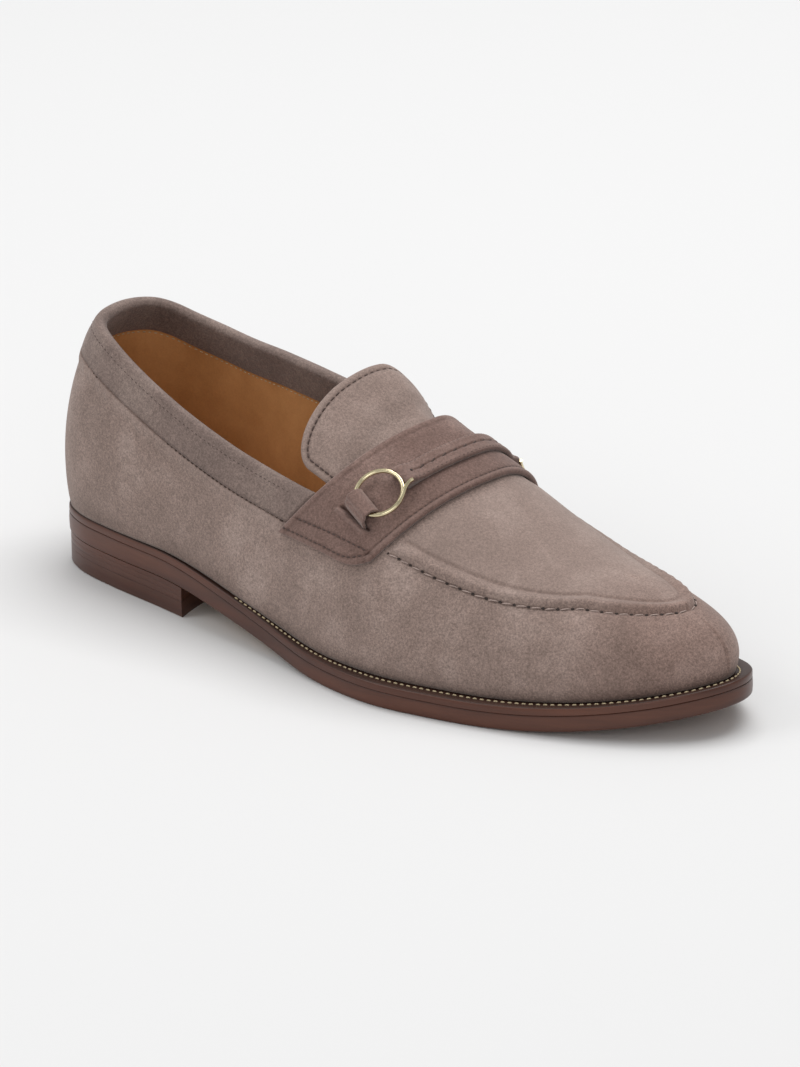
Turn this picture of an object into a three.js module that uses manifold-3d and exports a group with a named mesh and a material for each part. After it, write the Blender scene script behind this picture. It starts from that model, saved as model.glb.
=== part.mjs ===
// Bit loafer, right shoe, size 42: suede on a low leather heel, with a saddle strap and a ring bit.
// Millimetres. Heel to toe runs along +X, the medial side is +Y, the floor is z = 0.
// The last's surface is a fan of ribs: each rises from the feather line to the crest of the last.
import * as THREE from 'three'
import { mergeVertices } from 'three/addons/utils/BufferGeometryUtils.js'
import Module from 'manifold-3d'

// Last
const LENGTH = 300
const BALL_WIDTH = 106
const INSTEP = 88
const HEEL_LIFT = 12
const TOE_SPRING = 11
const CREST_TOE = 252
const CREST_HEEL = 46
const THROAT = 176
const THROAT_ROUND = 36

// Bottom
const HEEL_LENGTH = 79
const BREAST_HOLLOW = 6
const TOP_PIECE = 6
const TOP_PIECE_SEAM = 32
const EDGE_FOREPART = 8.8
const EDGE_HEEL = 10
const WELT = 2.8
const WELT_REACH = 6
const WELT_LEDGE = 3.4
const EDGE_ROUND = 0.8
const INSOLE = 3

// Upper and what lies on it
const WALL = 2.2
const ROLL_WIDTH = 4.6
const ROLL_HEIGHT = 1.5
const APRON_STEP = 0.5
const BINDING = 1
const BINDING_OUTSIDE = 12.5
const BINDING_INSIDE = 12
const TONGUE = 2.4
const TONGUE_LATERAL = 48
const TONGUE_MEDIAL = 26
const TONGUE_END = 121
const TONGUE_RISE = 2
const TONGUE_TILT = 3
const TONGUE_SLANT = 0.2
const TONGUE_CORNER = 14
const STRAP = 2
const STRAP_REAR = 160
const STRAP_FRONT = 191
const STRAP_REACH_REAR = 73
const STRAP_REACH_FRONT = 65
const STRAP_SWEEP_REAR = 30
const STRAP_SWEEP_FRONT = 20
const STRAP_CORNER = 6
const BIT_STRAP = 1.8
const BIT_STRAP_WIDTH = 7.4
const BIT_FORWARD = 1.5
const RING_RADIUS = 8.7
const RING_WIRE = 0.85
const RING_CENTRE = 39
const NECK_LENGTH = 10.2
const TAB = 1.2
const TAB_WIDTH = 9.6
const TAB_FOLD = 5
const TAB_TAIL = 1.8

// Fits
const SEAT = 0.1
const CLEARANCE = 0.3
const TONGUE_GAP = 0.6

// Resolution
const QUARTER_STEPS = 18
const THROAT_STEPS = 7
const VAMP_STEPS = 17

// Edge of the outsole: middle and half width as shares of BALL_WIDTH
const PLAN = table(['share', 'middle', 'half'], [
  [0.00, 0.000, 0.000],
  [0.02, -0.003, 0.207],
  [0.06, -0.005, 0.284],
  [0.13, -0.013, 0.325],
  [0.22, -0.048, 0.328],
  [0.32, -0.094, 0.331],
  [0.42, -0.122, 0.352],
  [0.52, -0.112, 0.432],
  [0.62, -0.078, 0.500],
  [0.70, -0.058, 0.486],
  [0.78, -0.048, 0.436],
  [0.86, -0.034, 0.362],
  [0.93, -0.018, 0.262],
  [0.98, 0.000, 0.140],
  [1.00, 0.004, 0.000],
])

// Ribs by station of their foot: reach of the welt as a share of WELT_REACH, outward swell of
// each side as a share of BALL_WIDTH, then handle lengths of the rib's curve as shares of its rise and run
const RIBS = table(['share', 'reach', 'swellLateral', 'swellMedial', 'rise', 'run'], [
  [0.00, 0.10, 0.080, 0.080, 0.42, 0.70],
  [0.15, 0.15, 0.055, 0.065, 0.42, 0.66],
  [0.30, 0.30, 0.030, 0.115, 0.42, 0.60],
  [0.40, 0.40, 0.035, 0.135, 0.42, 0.62],
  [0.50, 0.65, 0.040, 0.095, 0.42, 0.62],
  [0.60, 0.92, 0.040, 0.050, 0.45, 0.60],
  [0.70, 1.00, 0.035, 0.040, 0.50, 0.60],
  [0.80, 1.00, 0.030, 0.032, 0.55, 0.60],
  [0.90, 1.00, 0.036, 0.050, 0.64, 0.58],
  [1.00, 1.00, 0.050, 0.065, 0.67, 0.55],
])

// Crest of the last: height as a share of INSTEP, side shift as a share of BALL_WIDTH
const CREST = table(['share', 'height', 'shift'], [
  [0.00, 1.300, 0.000],
  [0.15, 1.300, 0.000],
  [0.30, 1.200, 0.040],
  [0.40, 1.085, 0.060],
  [0.50, 0.960, 0.045],
  [0.60, 0.815, 0.020],
  [0.70, 0.660, 0.005],
  [0.80, 0.540, 0.000],
  [0.90, 0.487, 0.004],
  [1.00, 0.452, 0.004],
])

// Topline: height of the collar on each side as a share of INSTEP
const TOPLINE = table(['share', 'lateral', 'medial'], [
  [0.00, 1.055, 1.055],
  [0.05, 1.050, 1.030],
  [0.09, 1.020, 0.965],
  [0.14, 0.958, 0.925],
  [0.24, 0.835, 0.905],
  [0.31, 0.770, 0.890],
  [0.38, 0.722, 0.855],
  [0.46, 0.682, 0.765],
  [0.55, 0.670, 0.720],
  [1.00, 0.670, 0.720],
])

// Apron seam: height up the rib as a share of its curve
const SEAM = table(['share', 'lateral', 'medial'], [
  [0.00, 0.300, 0.300],
  [0.40, 0.380, 0.360],
  [0.52, 0.440, 0.420],
  [0.60, 0.478, 0.462],
  [0.68, 0.488, 0.480],
  [0.74, 0.507, 0.500],
  [0.80, 0.560, 0.555],
  [0.86, 0.632, 0.630],
  [0.92, 0.705, 0.705],
  [1.00, 0.780, 0.780],
])

const LATERAL = -1
const MEDIAL = 1

function table(names, rows) {
  return Object.fromEntries(names.map((name, column) => [name, rows.map(row => row[column])]))
}

// Smooth curve through a column; each slope is that of the parabola through a row and its neighbours
function follow(keys, values, at) {
  const last = keys.length - 1
  const x = Math.min(Math.max(at, keys[0]), keys[last])
  let i = 0
  while (i < last - 1 && x > keys[i + 1]) i += 1
  const rate = k => (values[k + 1] - values[k]) / (keys[k + 1] - keys[k])
  const slope = k => {
    if (k === 0) return rate(0)
    if (k === last) return rate(last - 1)
    const before = keys[k] - keys[k - 1]
    const after = keys[k + 1] - keys[k]
    return (rate(k - 1) * after + rate(k) * before) / (before + after)
  }
  const span = keys[i + 1] - keys[i]
  const u = (x - keys[i]) / span
  const v = 1 - u
  return (1 + 2 * u) * v * v * values[i] + u * v * v * span * slope(i)
    + u * u * (3 - 2 * u) * values[i + 1] - u * u * v * span * slope(i + 1)
}

function column(source, name, share) {
  return follow(source.share, source[name], share)
}

function span(from, to, steps) {
  return Array.from({ length: steps + 1 }, (_, i) => from + (to - from) * i / steps)
}

function ease(from, to, x) {
  const u = THREE.MathUtils.clamp((x - from) / (to - from), 0, 1)
  return u * u * (3 - 2 * u)
}

// A turn of 0 is the back of the heel and 1 the tip of the toe
function shareOf(turn) {
  return (1 - Math.cos(Math.PI * turn)) / 2
}

function turnOf(share) {
  return Math.acos(1 - 2 * share) / Math.PI
}

const PLAN_TURNS = PLAN.share.map(turnOf)

function edgePoint(turn, side) {
  const middle = follow(PLAN_TURNS, PLAN.middle, turn)
  const half = follow(PLAN_TURNS, PLAN.half, turn)
  return new THREE.Vector2(shareOf(turn) * LENGTH, (middle + side * half) * BALL_WIDTH)
}

// Point of the sole's edge, moved inwards by an inset, and the outward direction there
function outline(turn, side, inset = 0) {
  const step = 1e-3
  const out = new THREE.Vector2(turn < 0.5 ? -1 : 1, 0)
  if (turn > step && turn < 1 - step) {
    const tangent = edgePoint(turn + step, side).sub(edgePoint(turn - step, side)).normalize()
    out.set(-side * tangent.y, side * tangent.x)
  }
  return { point: edgePoint(turn, side).addScaledVector(out, -inset), out }
}

// Underside of the outsole: level at the heel, down through the waist, level at the ball, up at the toe
function under(x) {
  const drop = HEEL_LIFT * (1 - ease(0.217 * LENGTH, 0.557 * LENGTH, x))
  const rise = TOE_SPRING * Math.max(0, (x / LENGTH - 0.733) / 0.267) ** 2
  return drop + rise
}

function edgeHeight(x) {
  return EDGE_HEEL + (EDGE_FOREPART - EDGE_HEEL) * ease(0.2 * LENGTH, 0.45 * LENGTH, x)
}

function seat(x) {
  return under(x) + edgeHeight(x)
}

function reach(share) {
  return WELT_REACH * column(RIBS, 'reach', share)
}

// Station on the crest where the rib from a station of the feather line ends: the ribs fan
// round the two ends of the crest
function crestStation(share) {
  const soft = 0.05 * LENGTH
  const bend = x => {
    const front = CREST_TOE - soft * Math.log1p(Math.exp((CREST_TOE - x) / soft))
    return CREST_HEEL + soft * Math.log1p(Math.exp((front - CREST_HEEL) / soft))
  }
  const first = bend(0)
  const spread = (CREST_TOE - CREST_HEEL) / (bend(LENGTH) - first)
  return CREST_HEEL + (bend(share * LENGTH) - first) * spread
}

function crestPoint(x) {
  const share = x / LENGTH
  return new THREE.Vector3(x, column(CREST, 'shift', share) * BALL_WIDTH, column(CREST, 'height', share) * INSTEP)
}

// The four control points of a rib
function rib(turn, side) {
  const share = shareOf(turn)
  const { point, out } = outline(turn, side, reach(share))
  const foot = new THREE.Vector3(point.x, point.y, seat(point.x) + SEAT)
  const x = crestStation(share)
  const crest = crestPoint(x)
  const grade = (crestPoint(x + 1).z - crestPoint(x - 1).z) / 2
  const swell = column(RIBS, side === LATERAL ? 'swellLateral' : 'swellMedial', share) * BALL_WIDTH
  const low = foot.clone()
  low.x += out.x * swell
  low.y += out.y * swell
  low.z += column(RIBS, 'rise', share) * (crest.z - foot.z)
  const run = column(RIBS, 'run', share)
  const dx = (foot.x - crest.x) * run
  const dy = (foot.y - crest.y) * run
  const high = new THREE.Vector3(crest.x + dx, crest.y + dy, crest.z + dx * grade)
  return [foot, low, high, crest]
}

function onRib([foot, low, high, crest], u) {
  const v = 1 - u
  return new THREE.Vector3()
    .addScaledVector(foot, v * v * v)
    .addScaledVector(low, 3 * v * v * u)
    .addScaledVector(high, 3 * v * u * u)
    .addScaledVector(crest, u * u * u)
}

function lastPoint(turn, side, u) {
  return onRib(rib(turn, side), u)
}

// Outward direction of the last's surface
function lastNormal(turn, side, u) {
  const d = 2e-3
  const before = Math.max(turn - d, 0)
  const after = Math.min(turn + d, 1)
  const lengthwise = lastPoint(after, side, u).sub(lastPoint(before, side, u))
  const curve = rib(turn, side)
  const upwards = onRib(curve, Math.min(u + d, 1)).sub(onRib(curve, Math.max(u - d, 0)))
  const normal = side === LATERAL ? lengthwise.cross(upwards) : upwards.cross(lengthwise)
  return normal.normalize()
}

// Distance over the leather from a place on a rib to its crest
function toCrest(curve, u) {
  let length = 0
  let lower = onRib(curve, u)
  for (const next of span(u, 1, 24).slice(1)) {
    const upper = onRib(curve, next)
    length += upper.distanceTo(lower)
    lower = upper
  }
  return length
}

// Place on a rib at a distance below its crest, measured over the leather
function belowCrest(curve, distance) {
  const steps = 60
  let left = distance
  let upper = onRib(curve, 1)
  for (let i = steps - 1; i >= 0; i -= 1) {
    const lower = onRib(curve, i / steps)
    const length = lower.distanceTo(upper)
    if (length >= left) return (i + 1 - left / length) / steps
    left -= length
    upper = lower
  }
  return 0
}

// A point over the last: station along the foot, distance across from the crest (lateral is
// negative) and height above the last's surface
function over(x, across, height) {
  const side = across < 0 ? LATERAL : MEDIAL
  const turn = turnOf(x / LENGTH)
  const u = belowCrest(rib(turn, side), Math.abs(across))
  return lastPoint(turn, side, u).addScaledVector(lastNormal(turn, side, u), height)
}

// Share of a rib where the topline cuts it; the throat rounds up to the crest
function topOf(turn, side) {
  const curve = rib(turn, side)
  const name = side === LATERAL ? 'lateral' : 'medial'
  const excess = u => {
    const p = onRib(curve, u)
    return p.z - column(TOPLINE, name, p.x / LENGTH) * INSTEP
  }
  let low = 0
  let high = 1
  if (excess(high) < 0) return 1
  for (let i = 0; i < 30; i += 1) {
    const middle = (low + high) / 2
    if (excess(middle) > 0) high = middle
    else low = middle
  }
  const into = THREE.MathUtils.clamp((shareOf(turn) * LENGTH - THROAT + THROAT_ROUND) / THROAT_ROUND, 0, 1)
  return high + (1 - high) * (1 - Math.sqrt(1 - into * into))
}

function seamOf(turn, side) {
  return column(SEAM, side === LATERAL ? 'lateral' : 'medial', shareOf(turn))
}

// Turns of the ribs: even along the quarters, by equal arcs round the throat, even to the toe
const THROAT_TURN = turnOf(THROAT / LENGTH)
const ROUND_TURN = turnOf((THROAT - THROAT_ROUND) / LENGTH)
const TURNS = [
  ...span(0, ROUND_TURN, QUARTER_STEPS).slice(0, -1),
  ...span(0, Math.PI / 2, THROAT_STEPS).slice(0, -1).map(angle => (
    turnOf((THROAT - THROAT_ROUND * (1 - Math.sin(angle))) / LENGTH))),
  ...span(THROAT_TURN, 1, VAMP_STEPS),
]
const LAST_TURN = TURNS.length - 1

// Collects the faces of one closed body
class Body {
  constructor() {
    this.points = []
    this.faces = []
  }

  add(point) {
    this.points.push(point)
    return this.points.length - 1
  }

  triangle(a, b, c) {
    if (a !== b && b !== c && c !== a) this.faces.push([a, b, c])
  }

  quad(a, b, c, d) {
    this.triangle(a, b, c)
    this.triangle(a, c, d)
  }

  // Joins two rows of as many points
  strip(first, second, closed = false) {
    const count = closed ? first.length : first.length - 1
    for (let i = 0; i < count; i += 1) {
      const j = (i + 1) % first.length
      this.quad(first[i], first[j], second[j], second[i])
    }
  }

  // Closes a ring whose points lie in pairs on the two sides, first and middle ones on the axis
  cap(ring, flip) {
    const n = ring.length
    for (let i = 0; i < n / 2; i += 1) {
      const a = ring[i]
      const b = ring[i + 1]
      const c = ring[(n - i - 1) % n]
      const d = ring[(n - i) % n]
      if (flip) this.quad(d, c, b, a)
      else this.quad(a, b, c, d)
    }
  }

  geometry() {
    let volume = 0
    for (const [a, b, c] of this.faces) {
      volume += this.points[a].dot(this.points[b].clone().cross(this.points[c]))
    }
    const geometry = new THREE.BufferGeometry()
    const positions = this.points.flatMap(point => point.toArray())
    const index = this.faces.flatMap(face => volume < 0 ? [face[0], face[2], face[1]] : face)
    geometry.setAttribute('position', new THREE.Float32BufferAttribute(positions, 3))
    geometry.setIndex(index)
    geometry.computeVertexNormals()
    return geometry
  }
}

// A ring round the shoe at an inset from the sole's edge, at a height that follows the station
function ring(body, inset, height) {
  const place = (turn, side) => {
    const { point } = outline(turn, side, inset(shareOf(turn)))
    return body.add(new THREE.Vector3(point.x, point.y, height(point.x)))
  }
  const lateral = TURNS.map(turn => place(turn, LATERAL))
  const medial = TURNS.slice(1, LAST_TURN).reverse().map(turn => place(turn, MEDIAL))
  return [...lateral, ...medial]
}

function stackRings(body, rings) {
  for (let i = 1; i < rings.length; i += 1) body.strip(rings[i - 1], rings[i], true)
}

const soleTop = x => seat(x) - WELT
const ledge = share => reach(share) + WELT_LEDGE

function outsole() {
  const body = new Body()
  const rings = [
    ring(body, () => EDGE_ROUND, under),
    ring(body, () => 0, x => under(x) + EDGE_ROUND),
    ring(body, () => 0, x => soleTop(x) - EDGE_ROUND / 2),
    ring(body, () => EDGE_ROUND / 2, soleTop),
    ring(body, ledge, soleTop),
    ring(body, ledge, seat),
  ]
  stackRings(body, rings)
  body.cap(rings[0], true)
  body.cap(rings[5], false)
  return body.geometry()
}

function welt() {
  const body = new Body()
  const inner = share => ledge(share) - CLEARANCE
  const rings = [
    ring(body, () => SEAT, x => soleTop(x) + SEAT),
    ring(body, () => SEAT, x => seat(x) - EDGE_ROUND / 2),
    ring(body, () => SEAT + EDGE_ROUND / 2, seat),
    ring(body, inner, seat),
    ring(body, inner, x => soleTop(x) + SEAT),
  ]
  stackRings(body, [...rings, rings[0]])
  return body.geometry()
}

function insole() {
  const body = new Body()
  const side = share => reach(share) + WALL + CLEARANCE
  const base = x => seat(x) + SEAT
  const rings = [
    ring(body, side, base),
    ring(body, side, x => base(x) + INSOLE - EDGE_ROUND),
    ring(body, share => side(share) + EDGE_ROUND, x => base(x) + INSOLE),
  ]
  stackRings(body, rings)
  body.cap(rings[0], true)
  body.cap(rings[2], false)
  return body.geometry()
}

// Triangles of a flat contour, all counterclockwise
function flatFaces(contour) {
  return THREE.ShapeUtils.triangulateShape(contour, []).map(([a, b, c]) => {
    const area = (contour[b].x - contour[a].x) * (contour[c].y - contour[a].y)
      - (contour[c].x - contour[a].x) * (contour[b].y - contour[a].y)
    return area < 0 ? [a, c, b] : [a, b, c]
  })
}

// Plan of a slice of the heel between two stations; the front line is hollowed towards the back
function heelPlan(inset, from, to) {
  const sideSteps = 14
  const frontSteps = 8
  const first = turnOf(Math.max(from, 0) / LENGTH)
  const turnAt = (i, x) => first + (turnOf(x / LENGTH) - first) * i / sideSteps
  const plan = []
  const start = from > 0 ? 0 : 1
  for (let i = sideSteps; i >= start; i -= 1) plan.push(outline(turnAt(i, to), MEDIAL, inset).point)
  if (from <= 0) plan.push(outline(0, MEDIAL, inset).point)
  for (let i = start; i <= sideSteps; i += 1) plan.push(outline(turnAt(i, to), LATERAL, inset).point)
  const a = plan[plan.length - 1]
  const b = plan[0]
  for (let i = 1; i < frontSteps; i += 1) {
    const u = i / frontSteps
    const p = a.clone().lerp(b, u)
    if (to >= HEEL_LENGTH) p.x -= BREAST_HOLLOW * 4 * u * (1 - u)
    plan.push(p)
  }
  return plan
}

function heelSlice(from, to, inset, bottom, top) {
  const plan = heelPlan(inset, from, to)
  const body = new Body()
  const low = plan.map(p => body.add(new THREE.Vector3(p.x, p.y, bottom(p.x))))
  const high = plan.map(p => body.add(new THREE.Vector3(p.x, p.y, top(p.x))))
  body.strip(low, high, true)
  for (const [a, b, c] of flatFaces(plan)) {
    body.triangle(low[a], low[c], low[b])
    body.triangle(high[a], high[b], high[c])
  }
  return body.geometry()
}

// The upper: an outer skin with the apron's roll, an inner skin a wall's thickness inside it,
// open under the foot and at the collar
// The roll and the apron's own thickness, which end at the saddle strap's front edge
function rollHeight(x, across, distance) {
  const fade = ease(3.5, 10, x - strapFront(across))
  const lift = ease(-0.2, 0.35 * ROLL_WIDTH, distance) * ROLL_HEIGHT
  const settle = ease(0.45 * ROLL_WIDTH, 1.3 * ROLL_WIDTH, distance) * (ROLL_HEIGHT - APRON_STEP)
  return fade * (lift - settle)
}

function upperRows(turn, side) {
  const curve = rib(turn, side)
  const top = topOf(turn, side)
  const seam = Math.min(seamOf(turn, side), 0.62 * top)
  const length = onRib(curve, seam + 0.01).distanceTo(onRib(curve, seam - 0.01)) / 0.02
  const width = Math.min(ROLL_WIDTH, (top - seam) * length / 2)
  const rows = []
  for (const u of [0, 0.13, 0.3, 0.5, 0.74]) rows.push({ u: seam * u, distance: -ROLL_WIDTH })
  for (const share of [-0.3, 0, 0.16, 0.45, 0.85, 1.3]) {
    rows.push({ u: seam + share * width / length, distance: share * ROLL_WIDTH })
  }
  const from = rows[rows.length - 1].u
  for (const u of [0.3, 0.6, 1]) rows.push({ u: from + (top - from) * u, distance: 2 * ROLL_WIDTH })
  return rows
}

function upper() {
  const body = new Body()
  const innerShares = [0, 0.12, 0.26, 0.4, 0.52, 0.62, 0.7, 0.78, 0.86, 0.93, 1]
  const skins = {}
  const crest = {}
  for (const side of [LATERAL, MEDIAL]) {
    skins[side] = TURNS.map((turn, i) => {
      const onAxis = i === 0 || i === LAST_TURN
      if (side === MEDIAL && onAxis) return skins[LATERAL][i]
      const x = shareOf(turn) * LENGTH
      const curve = rib(turn, side)
      const closed = turn >= THROAT_TURN
      const rows = upperRows(turn, side)
      const top = rows[rows.length - 1].u
      const point = (u, height) => lastPoint(turn, side, u).addScaledVector(lastNormal(turn, side, u), height)
      const lift = turn < 1 ? 1 : 1 - 1e-3
      const place = u => Math.min(u, lift)
      const outer = rows.map(({ u, distance }) => point(place(u), rollHeight(x, toCrest(curve, u), distance)))
      const inner = innerShares.map(u => point(place(u * top), -WALL))
      outer[0].z = seat(outer[0].x) + SEAT
      inner[0].z = seat(inner[0].x) + SEAT
      if (closed && side === MEDIAL) {
        return {
          outer: [...outer.slice(0, -1).map(p => body.add(p)), crest[i].outer],
          inner: [...inner.slice(0, -1).map(p => body.add(p)), crest[i].inner],
        }
      }
      const ids = { outer: outer.map(p => body.add(p)), inner: inner.map(p => body.add(p)) }
      crest[i] = { outer: ids.outer.at(-1), inner: ids.inner.at(-1) }
      return ids
    })
  }
  for (const side of [LATERAL, MEDIAL]) {
    for (let i = 0; i < LAST_TURN; i += 1) {
      const [a, b] = side === LATERAL ? [skins[side][i], skins[side][i + 1]] : [skins[side][i + 1], skins[side][i]]
      body.strip(b.outer, a.outer)
      body.strip(a.inner, b.inner)
      body.quad(a.outer[0], a.inner[0], b.inner[0], b.outer[0])
      if (TURNS[i] < THROAT_TURN) body.quad(a.outer.at(-1), b.outer.at(-1), b.inner.at(-1), a.inner.at(-1))
    }
  }
  return body.geometry()
}

// Two skins over the last, joined round their border
function shell(grid, top, bottom) {
  const body = new Body()
  const upperSide = grid.map(row => row.map(cell => body.add(top(cell))))
  const lowerSide = grid.map(row => row.map(cell => body.add(bottom(cell))))
  for (let i = 1; i < grid.length; i += 1) {
    body.strip(upperSide[i - 1], upperSide[i])
    body.strip(lowerSide[i], lowerSide[i - 1])
  }
  const border = side => [
    ...side[0],
    ...side.slice(1, -1).map(row => row.at(-1)),
    ...[...side.at(-1)].reverse(),
    ...side.slice(1, -1).reverse().map(row => row[0]),
  ]
  body.strip(border(lowerSide), border(upperSide), true)
  return body.geometry()
}

// Distance from the crest to the topline over the leather
function topAcross(turn, side) {
  return toCrest(rib(turn, side), topOf(turn, side))
}

// Turn at which the band meets the rear edge of the saddle strap, some way below the topline
function bindingEnd(side, down) {
  let x = STRAP_REAR
  for (let i = 0; i < 12; i += 1) {
    const goal = strapRear(topAcross(turnOf(x / LENGTH), side) + down) - 2 * CLEARANCE
    x += (goal - x) / 2
  }
  return turnOf(x / LENGTH)
}

// The folded band round the collar, as a section carried from one end to the other
function binding() {
  const body = new Body()
  const out = CLEARANCE
  const inn = -WALL - CLEARANCE
  const fold = CLEARANCE + BINDING
  const section = [
    [BINDING_OUTSIDE, out],
    [BINDING_OUTSIDE, out + BINDING * 0.6],
    [BINDING_OUTSIDE - BINDING, out + BINDING],
    [BINDING_OUTSIDE / 2, out + BINDING],
    [0, out + BINDING],
    [-fold * 0.8, out],
    [-fold, -WALL / 2],
    [-fold * 0.8, inn],
    [0, inn - BINDING],
    [BINDING_INSIDE / 2, inn - BINDING],
    [BINDING_INSIDE, inn - BINDING],
    [BINDING_INSIDE, inn],
    [BINDING_INSIDE / 2, inn],
    [-CLEARANCE, inn],
    [-CLEARANCE, out],
    [BINDING_OUTSIDE / 2, out],
  ]
  const place = (way, side, ends) => section.map(([down, height], i) => {
    const turn = way * ends[i]
    const curve = rib(turn, side)
    const top = topOf(turn, side)
    const slope = onRib(curve, top).sub(onRib(curve, top - 0.01))
    const u = Math.min(top, top - down / (slope.length() / 0.01))
    const point = onRib(curve, u).addScaledVector(lastNormal(turn, side, u), height)
    if (down < 0) point.addScaledVector(slope.normalize(), -down)
    return body.add(point)
  })
  const steps = 20
  const sections = []
  for (const side of [LATERAL, MEDIAL]) {
    const ends = section.map(([down]) => bindingEnd(side, down))
    const ways = side === LATERAL ? span(1, 0, steps) : span(0, 1, steps).slice(1)
    for (const way of ways) sections.push(place(way, side, ends))
  }
  for (let i = 1; i < sections.length; i += 1) body.strip(sections[i - 1], sections[i], true)
  const contour = section.map(([down, height]) => new THREE.Vector2(down, height))
  const turned = THREE.ShapeUtils.isClockWise(contour)
  for (const [a, b, c] of flatFaces(contour)) {
    const [p, q] = turned ? [b, c] : [c, b]
    body.triangle(sections[0][a], sections[0][p], sections[0][q])
    body.triangle(sections.at(-1)[a], sections.at(-1)[q], sections.at(-1)[p])
  }
  return body.geometry()
}

// The tongue lies under the quarters and the folded band, and fills the opening between them with
// its free end, which is raised and tilted up to the medial side
function tongue() {
  const front = THROAT + 14
  const middle = (TONGUE_MEDIAL - TONGUE_LATERAL) / 2
  const grid = span(0, 1, 14).map(u => {
    const station = front + (TONGUE_END - front) * Math.sin(u * Math.PI / 2)
    const into = THREE.MathUtils.clamp((TONGUE_END + TONGUE_CORNER - station) / TONGUE_CORNER, 0, 1)
    const taper = 1 - 0.35 * ease(STRAP_REAR - 12, front, station)
    const half = (TONGUE_MEDIAL + TONGUE_LATERAL) / 2 * taper * Math.pow(1 - 0.97 * into ** 2.2, 1 / 2.2)
    const free = ease(STRAP_REAR - 7, TONGUE_END, station)
    const open = ease(STRAP_REAR - 7, STRAP_REAR - 19, station)
    return span(-1, 1, 14).map(v => {
      const across = middle * taper + v * half + 1e-6
      const x = station + TONGUE_SLANT * (across + TONGUE_LATERAL) * free
      const edge = topAcross(turnOf(x / LENGTH), across < 0 ? LATERAL : MEDIAL)
      const tucked = ease(edge - 14 + 9 * open, edge - 4 + 3 * open, Math.abs(across))
      const band = (BINDING + CLEARANCE) * (1 - ease(STRAP_REAR - 6, STRAP_REAR + 2, x))
      const tilt = TONGUE_TILT * ease(-TONGUE_LATERAL / 2, TONGUE_MEDIAL, across)
      const raised = (TONGUE_RISE + tilt) * free - (TONGUE_GAP + WALL) * (1 - open)
      return { x, across, height: raised * (1 - tucked) - (WALL + TONGUE_GAP + band) * tucked }
    })
  })
  const top = ({ x, across, height }) => over(x, across, height)
  const bottom = ({ x, across, height }) => over(x, across, height - TONGUE)
  return shell(grid, top, bottom)
}

// Station of the saddle strap's rear and front edges at a distance across: both sweep back
function strapRear(across) {
  return STRAP_REAR - STRAP_SWEEP_REAR * (Math.abs(across) / STRAP_REACH_REAR) ** 1.6
}

function strapFront(across) {
  return STRAP_FRONT - STRAP_SWEEP_FRONT * (Math.abs(across) / STRAP_REACH_FRONT) ** 1.7
}

// Middle line of the bit, which lies a little in front of the saddle strap's own
function bitMiddle(across) {
  return (strapRear(across) + strapFront(across)) / 2 + BIT_FORWARD
}

function saddleStrap() {
  const grid = span(-1, 1, 30).map(v => span(0, 1, 6).map(u => {
    const corner = STRAP_CORNER * Math.max(0, (u - 0.7) / 0.3) ** 3
    const reach = STRAP_REACH_REAR + (STRAP_REACH_FRONT - STRAP_REACH_REAR) * u - corner
    const across = v * reach + 1e-6
    const rear = strapRear(across)
    return { x: rear + (strapFront(across) - rear) * u, across }
  }))
  return shell(grid, ({ x, across }) => over(x, across, CLEARANCE + STRAP), ({ x, across }) => over(x, across, CLEARANCE))
}

const STRAP_TOP = CLEARANCE + STRAP
const RING_HEIGHT = STRAP_TOP + 2 * CLEARANCE + TAB + RING_WIRE

function bitStrap() {
  const base = STRAP_TOP + CLEARANCE
  const half = RING_CENTRE - NECK_LENGTH - RING_WIRE - CLEARANCE
  const grid = span(-1, 1, 12).map(v => {
    const across = v * half + 1e-6
    return span(-0.5, 0.5, 2).map(u => ({ x: bitMiddle(across) + u * BIT_STRAP_WIDTH, across }))
  })
  return shell(grid, ({ x, across }) => over(x, across, base + BIT_STRAP), ({ x, across }) => over(x, across, base))
}

// Frame of a ring: origin at its middle, y away from the crest along the strap, z outwards
function ringFrame(side) {
  const at = (distance, height) => over(bitMiddle(distance), side * distance, height)
  const origin = at(RING_CENTRE, RING_HEIGHT)
  const out = at(RING_CENTRE, RING_HEIGHT + 1).sub(origin).normalize()
  const away = at(RING_CENTRE + 4, RING_HEIGHT).sub(at(RING_CENTRE - 4, RING_HEIGHT))
  away.addScaledVector(out, -away.dot(out)).normalize()
  const forward = new THREE.Vector3().crossVectors(away, out)
  return new THREE.Matrix4().makeBasis(forward, away, out).setPosition(origin)
}

const wasm = await Module()
wasm.setup()

function solid(geometry) {
  const bare = geometry.clone()
  bare.deleteAttribute('normal')
  bare.deleteAttribute('uv')
  const merged = mergeVertices(bare, 1e-4)
  const mesh = { numProp: 3, vertProperties: merged.attributes.position.array, triVerts: merged.index.array }
  mesh.triVerts = new Uint32Array(mesh.triVerts)
  return new wasm.Manifold(new wasm.Mesh(mesh))
}

function fromSolid(shape) {
  const mesh = shape.getMesh()
  const geometry = new THREE.BufferGeometry()
  geometry.setAttribute('position', new THREE.Float32BufferAttribute(mesh.vertProperties, 3))
  geometry.setIndex(Array.from(mesh.triVerts))
  geometry.computeVertexNormals()
  return geometry
}

function rod(points, radius, steps) {
  const corners = span(0, 5, 5).map(i => i * Math.PI / 3)
  const section = new THREE.Shape(corners.map(a => new THREE.Vector2(radius * Math.cos(a), radius * Math.sin(a))))
  const extrudePath = new THREE.CatmullRomCurve3(points)
  return new THREE.ExtrudeGeometry(section, { extrudePath, steps, curveSegments: 1 })
}

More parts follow.
